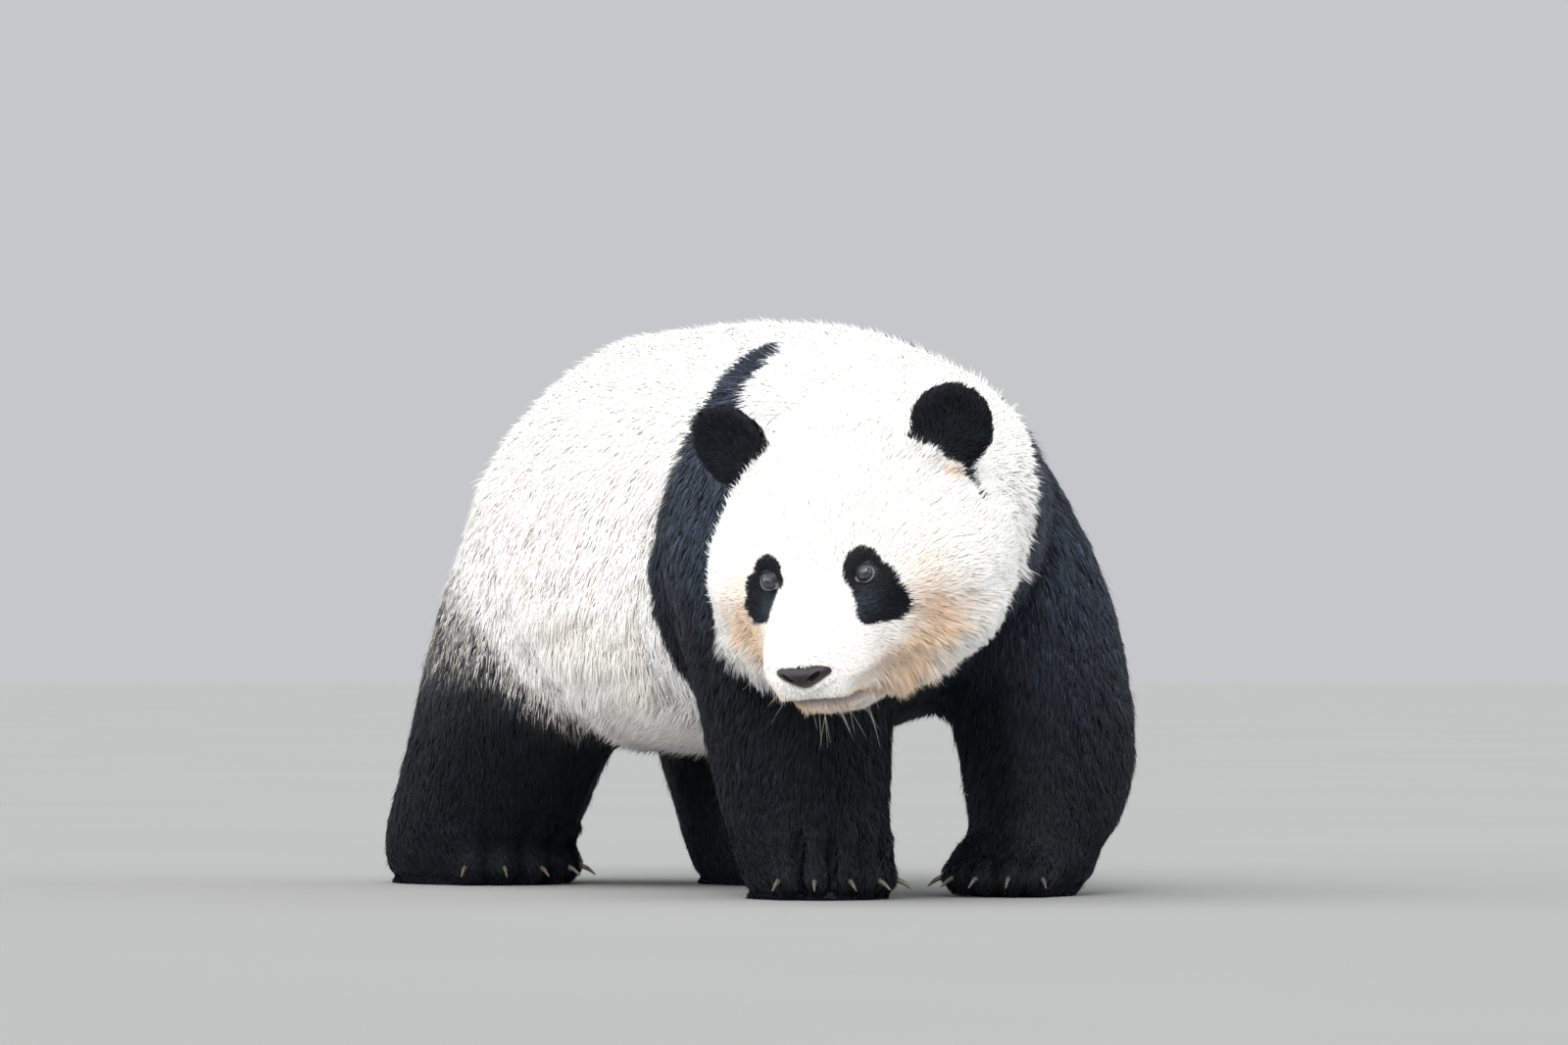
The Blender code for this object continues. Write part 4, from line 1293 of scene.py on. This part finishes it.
def eye_colours(angle, turns):
    """Dark pupil, fibrous blue-grey iris with a black edge, and a dark rim; their blue-grey is
    a painted reflection of the sky.
    """
    share = (angle - PUPIL_ANGLE) / (IRIS_ANGLE - PUPIL_ANGLE)
    fibre = 0.5 + 0.25 * np.sin(turns * 31) + 0.25 * np.sin(turns * 53 + 1.7)
    even = np.ones(len(turns))
    if share < 0:
        return np.outer(even, PUPIL)
    if share < 0.78:
        return np.outer(0.7 + 0.6 * fibre, IRIS_WITH_SKY_REFLECTION) * (1.35 - 0.8 * abs(share - 0.4))
    if share < 1.2:
        return np.outer(even, IRIS_EDGE)
    return np.outer(0.8 + 0.1 * fibre, EYE_RIM)


def eyeball(name, side, material):
    """Rings from the pupil to the back, each coloured for its place in the eye."""
    gaze = unit(GAZES[side])
    across, upward = square_axes(gaze, np.array((0.0, 0.0, 1.0)))
    turns = turns_of(EYE_SIDES)
    front = np.linspace(0.01, IRIS_ANGLE * 1.15, 26)
    rings = []
    colours = []
    for angle in (*front, *np.linspace(IRIS_ANGLE * 1.22, 3.1, 18)):
        bulge = CORNEA_RISE * max(0.0, 1 - (angle / (IRIS_ANGLE * 1.1)) ** 2)
        depth, wide = (EYE_RADIUS + bulge) * np.array((math.cos(angle), math.sin(angle)))
        middle = EYE_PLACE * (side, 1, 1) + depth * gaze
        rings.append(ellipse(middle, turns, wide * across, wide * upward))
        colours.append(eye_colours(angle, turns))
    finish_piece(painted_rings(name, rings, colours), material, "eye", name)


def lid_height(tree, point, axis, reach, lid_ring):
    """Height of the lid over a point of the eye's plane, clear of ball and skin."""
    share, rise, on_skin, _ = lid_ring
    hit, _ = cast(tree, point + axis * 0.04, -axis, 0.09)
    skin_height = 0.0 if hit is None else (in_head(np.array(hit)) - point) @ axis
    ball = math.sqrt(max(EYE_RADIUS**2 - reach**2, (0.2 * EYE_RADIUS) ** 2)) + rise
    level = ball * (1 - on_skin) + (skin_height + rise) * on_skin
    clear = math.sqrt(max((EYE_RADIUS + LID_CLEARANCE) ** 2 - reach**2, 0))
    over_skin = skin_height + min(rise, LID_CLEARANCE)
    return max(level, over_skin, clear if share > 1 else 0)


def lid(name, side, material, tree):
    """The two lids as one rolled rim round the open eye, down to the skin."""
    outer, above, axis = eye_frame(side)
    turns = turns_of(LID_SIDES)
    cosine, sine = np.cos(turns), np.sin(turns)
    corner = np.where(cosine < 0, LID_INNER, 1.0) * LID_HALF_WIDTH * cosine
    flat = np.sign(sine) * np.abs(sine) ** 1.1 * LID_HALF_HEIGHT
    lid_highlight = 0.5 + 0.5 * np.cos(turns + LID_SHINE)
    inner = fade(cosine, -0.80, -0.97)
    rings = []
    colours = []
    for lid_ring in LID_RINGS:
        share, _, _, tone = lid_ring
        x, y = corner * share, flat * share
        ring = EYE_PLACE * (side, 1, 1) + np.outer(x, outer) + np.outer(y, above)
        for i, reach in enumerate(np.hypot(x, y)):
            ring[i] += axis * lid_height(tree, ring[i].copy(), axis, reach, lid_ring)
        rings.append(ring)
        # painted highlight on the wet rim, low and outward, and painted shade high and inward
        grey = np.outer(0.13 + 0.87 * lid_highlight**1.6, LID_GREY) * tone
        colours.append(mix(grey, LID_PINK * max(tone, 0.3), inner * (share < 1.3)))
    finish_piece(painted_rings(name, rings, colours, False), material, "coat_black")


def make_eyes(tree):
    eye_material = wet_material()
    lid_material = leather_material("eyelid", 900, 0.38, 0.25)
    for side, word in ((1, "left"), (-1, "right")):
        eyeball(f"eye_{word}", side, eye_material)
        lid(f"eyelids_{word}", side, lid_material, tree)


def nose_ring(turns, polar):
    """Points of the pad round its middle, and how deep in a nostril each one is."""
    x, z = math.sin(polar) * np.cos(turns), math.sin(polar) * np.sin(turns)
    x, z = np.copysign(np.abs(x) ** 0.92, x), np.copysign(np.abs(z) ** 0.88, z)
    narrow = 1 - NOSE_TAPER * np.maximum(-z, 0) ** NOSE_TAPER_POWER
    lift = np.abs(x) ** 1.5 * np.where(z > 0, 1, 0.3) - glow(x, 0.3) * np.maximum(z, 0)
    tall = z * np.where(z > 0, NOSE_TOP, 1)
    ring = np.stack((x * narrow, 0 * x + math.cos(polar), tall), axis=1) * NOSE_HALF
    ring[:, 2] += 0.0016 * lift
    offset = np.stack((np.abs(ring[:, 0]), ring[:, 2]), axis=1) - NOSTRIL_PLACE
    along = offset @ (math.cos(NOSTRIL_TILT), math.sin(NOSTRIL_TILT))
    aside = offset @ (-math.sin(NOSTRIL_TILT), math.cos(NOSTRIL_TILT))
    reach = np.hypot(along / NOSTRIL_HALF[0], aside / NOSTRIL_HALF[1])
    hollow = (math.cos(polar) > -0.2) / (1 + np.exp((reach - 0.95) * 9))
    middle_groove = NOSE_GROOVE * glow(x, 0.05) * fade(z, 0.2, -0.6)
    rim = NOSTRIL_RIM * glow(reach - 1.5, 0.35)
    ring[:, 1] += rim - hollow * NOSTRIL_DEPTH - middle_groove
    return ring, hollow


def make_nose():
    rings = []
    colours = []
    for polar in np.linspace(0.01, 2.6, NOSE_RINGS):
        ring, hollow = nose_ring(turns_of(NOSE_SIDES), polar)
        rings.append(ring + NOSE_PLACE + (0, -NOSE_SINK, 0))
        # the nostril hollows are painted darker: painted shade
        colours.append(mix(NOSE_BLACK[None, :], NOSTRIL_SHADE, hollow))
    pad = painted_rings("nose_pad", rings, colours)
    finish_piece(pad, leather_material("nose_leather", 620, 0.42, 0.18), "nose_pad", "nose")


def make_mouth(tree):
    """The dark wet line between the lips, laid in the groove of the skin: dark lip skin, and
    painted shade of the gap between the lips.
    """
    rings = []
    for turn in np.linspace(-1.0, 1.0, 61):
        direction = np.array((math.sin(turn), math.cos(turn), 0.0))
        start = (0.0, 0.135, mouth_height(0.055 * math.sin(turn)))
        hit, _ = cast(tree, start, direction, 0.2)
        if hit is not None:
            middle = in_head(np.array(hit)) - direction * 0.0005
            tall = MOUTH_LINE[1] * (1 - 0.75 * fade(abs(turn), 0.5, 1.0))
            deep = MOUTH_LINE[0] * direction
            rings.append(ellipse(middle, turns_of(MOUTH_SIDES), deep, -tall * DOWN))
    colours = np.full((len(rings), MOUTH_SIDES, 3), MOUTH_LIP_AND_SHADE)
    line = painted_rings("mouth_line", rings, colours)
    finish_piece(line, leather_material("lip", 800, 0.4, 0.3), "nose_pad")


def make_claws():
    """A smooth horn for each of the CAD's faceted claws."""
    horn = claw_material()
    for node in sorted(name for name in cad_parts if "claw" in name):
        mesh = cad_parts[node].data.copy()
        mesh.materials.clear()
        with editing(mesh) as form:
            bmesh.ops.remove_doubles(form, verts=form.verts, dist=WELD)
        piece = add_object(f"horn_{node}", mesh)
        round_off = piece.modifiers.new("round", "SUBSURF")
        round_off.levels = 2
        round_off.render_levels = 2
        applied(piece)
        piece.data.shade_smooth()
        finish_piece(piece, horn, "claw", node)


WHISKER_SEED = 7
CHIN_HAIRS = 16
LIP_HAIRS = 9  # on each side
WHISKER_SIDES = 4
WHISKER_RINGS = 7
WHISKER_RADIUS = 0.00032
WHISKER_TAPER = 0.85
WHISKER_DROP = 0.30  # how far its tip sags, as a share of its length


def hair_strand(start, direction, length):
    """Rings of a fine bent hair, thinner to its tip."""
    across, upward = square_axes(direction, np.array((0.2, 0.3, 0.9)))
    rings = []
    for share in np.linspace(0, 1, WHISKER_RINGS):
        middle = start + length * (share * direction + WHISKER_DROP * share**2 * DOWN)
        size = WHISKER_RADIUS * (1 - WHISKER_TAPER * share)
        rings.append(ellipse(middle, turns_of(WHISKER_SIDES), size * across, size * upward))
    return rings


def make_whiskers(tree):
    """Sparse long hairs of the chin and the lips."""
    draws = np.random.default_rng(WHISKER_SEED)
    starts = []  # inside the head, the way out to the skin, and the range of length
    for _ in range(CHIN_HAIRS):
        place = (draws.uniform(-0.05, 0.055), draws.uniform(0.12, 0.19), -0.20)
        starts.append((place, (0, 0, 1), (0.022, 0.052)))
    for side in (-1, 1):
        for _ in range(LIP_HAIRS):
            place = (side * 0.15, draws.uniform(0.13, 0.19), draws.uniform(-0.10, -0.07))
            starts.append((place, (-side, 0, 0), (0.020, 0.040)))
    mesh = bpy.data.meshes.new("whiskers")
    middles = []
    facings = []
    with editing(mesh) as form:
        for place, toward, lengths in starts:
            hit, normal = cast(tree, place, toward, 0.3)
            if hit is None:
                continue
            lean = np.array(normal) - 0.4 * HEAD_AXES[1] + draws.normal(0, 0.22, 3)
            length = draws.uniform(*lengths)
            strand = ring_mesh("strand", hair_strand(np.array(hit), unit(lean), length))
            form.from_mesh(strand)
            bpy.data.meshes.remove(strand)
            middles.append(hit)
            facings.append(normal)
    mesh.shade_smooth()
    paint(mesh, np.tile(WHISKER_WHITE, (len(mesh.vertices), 1)))
    cells = itertools.product(range(WHISKER_RINGS), range(WHISKER_SIDES))
    patch = PATCH * np.array([(0.2 * side, ring / 6) for ring, side in cells])
    corners = read_array(mesh.loops, "vertex_index", 1, np.int32)[:, 0]
    spots = box_map(np.array(middles), np.array(facings))
    write_map(mesh, spots[:, None, :] + patch, corners)
    whiskers = add_object("whiskers", mesh)
    finish_piece(whiskers, leather_material("whisker", 300, 0.5, 0.0), "coat_white")


# ---- floor and light
FLOOR_RADIUS = 120
SKY = (0.56, 0.575, 0.59, 1)
DAYLIGHT = (1.0, 0.995, 0.985)
LIGHTS = {  # where each one shines from, its strength, its softness, and its colour
    "overhead": ((-0.25, -0.10, 1.0), 1.35, 70, DAYLIGHT),
    "key": ((-1.15, -0.75, 0.50), 1.75, 60, DAYLIGHT),
    "side": ((-1.0, 0.55, 0.35), 1.6, 70, (0.98, 0.99, 1.0)),
    "spark": ((-0.42, -0.67, 0.62), 0.85, 20, (1.0, 1.0, 1.0)),
    "fill": ((1.0, -0.75, 0.30), 1.5, 70, (0.96, 0.98, 1.0)),
}


def make_floor():
    mesh = bpy.data.meshes.new("studio_floor")
    with editing(mesh) as form:
        bmesh.ops.create_circle(form, cap_ends=True, segments=96, radius=FLOOR_RADIUS)
    mesh.materials.append(floor_material())
    floor = add_object("studio_floor", mesh)


def make_lights():
    world = bpy.data.worlds.new("studio")
    world.use_nodes = True
    background = world.node_tree.nodes["Background"]
    background.inputs["Color"].default_value = SKY
    background.inputs["Strength"].default_value = 1.0
    bpy.context.scene.world = world
    for name, (place, strength, softness, colour) in LIGHTS.items():
        light = bpy.data.lights.new(name, "SUN")
        light.energy = strength
        light.angle = math.radians(softness)
        light.color = colour
        lamp = add_object(name, light)
        lamp.rotation_euler = (-Vector(place)).to_track_quat("-Z", "Y").to_euler()
    bpy.context.scene.view_settings.view_transform = "Standard"


# ---- the pieces
skin, links, coat = make_skin()
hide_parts(*FLESH)
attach(skin, "root")
coat.tan = stain(coat)
coat.black, coat.grizzle = markings(coat)
skin_colours = mix(WHITE_ROOT[None, :] * 0.95, TAN * 0.8, coat.tan)
skin_colours = mix(skin_colours, BLACK_ROOT * 1.2, fade(coat.black, 0.3, 0.7))
skin_colours = mix(skin_colours, LIP, lip_share(coat.local))
paint(skin.data, skin_colours)
skin.data.materials.append(skin_material())
tufts = grow_tufts(skin, links, coat)
split_coat(tufts, coat_material())
make_floor()
make_lights()

skin_tree = BVHTree.FromObject(skin, bpy.context.evaluated_depsgraph_get())
make_eyes(skin_tree)
make_nose()
make_mouth(skin_tree)
make_claws()
make_whiskers(skin_tree)
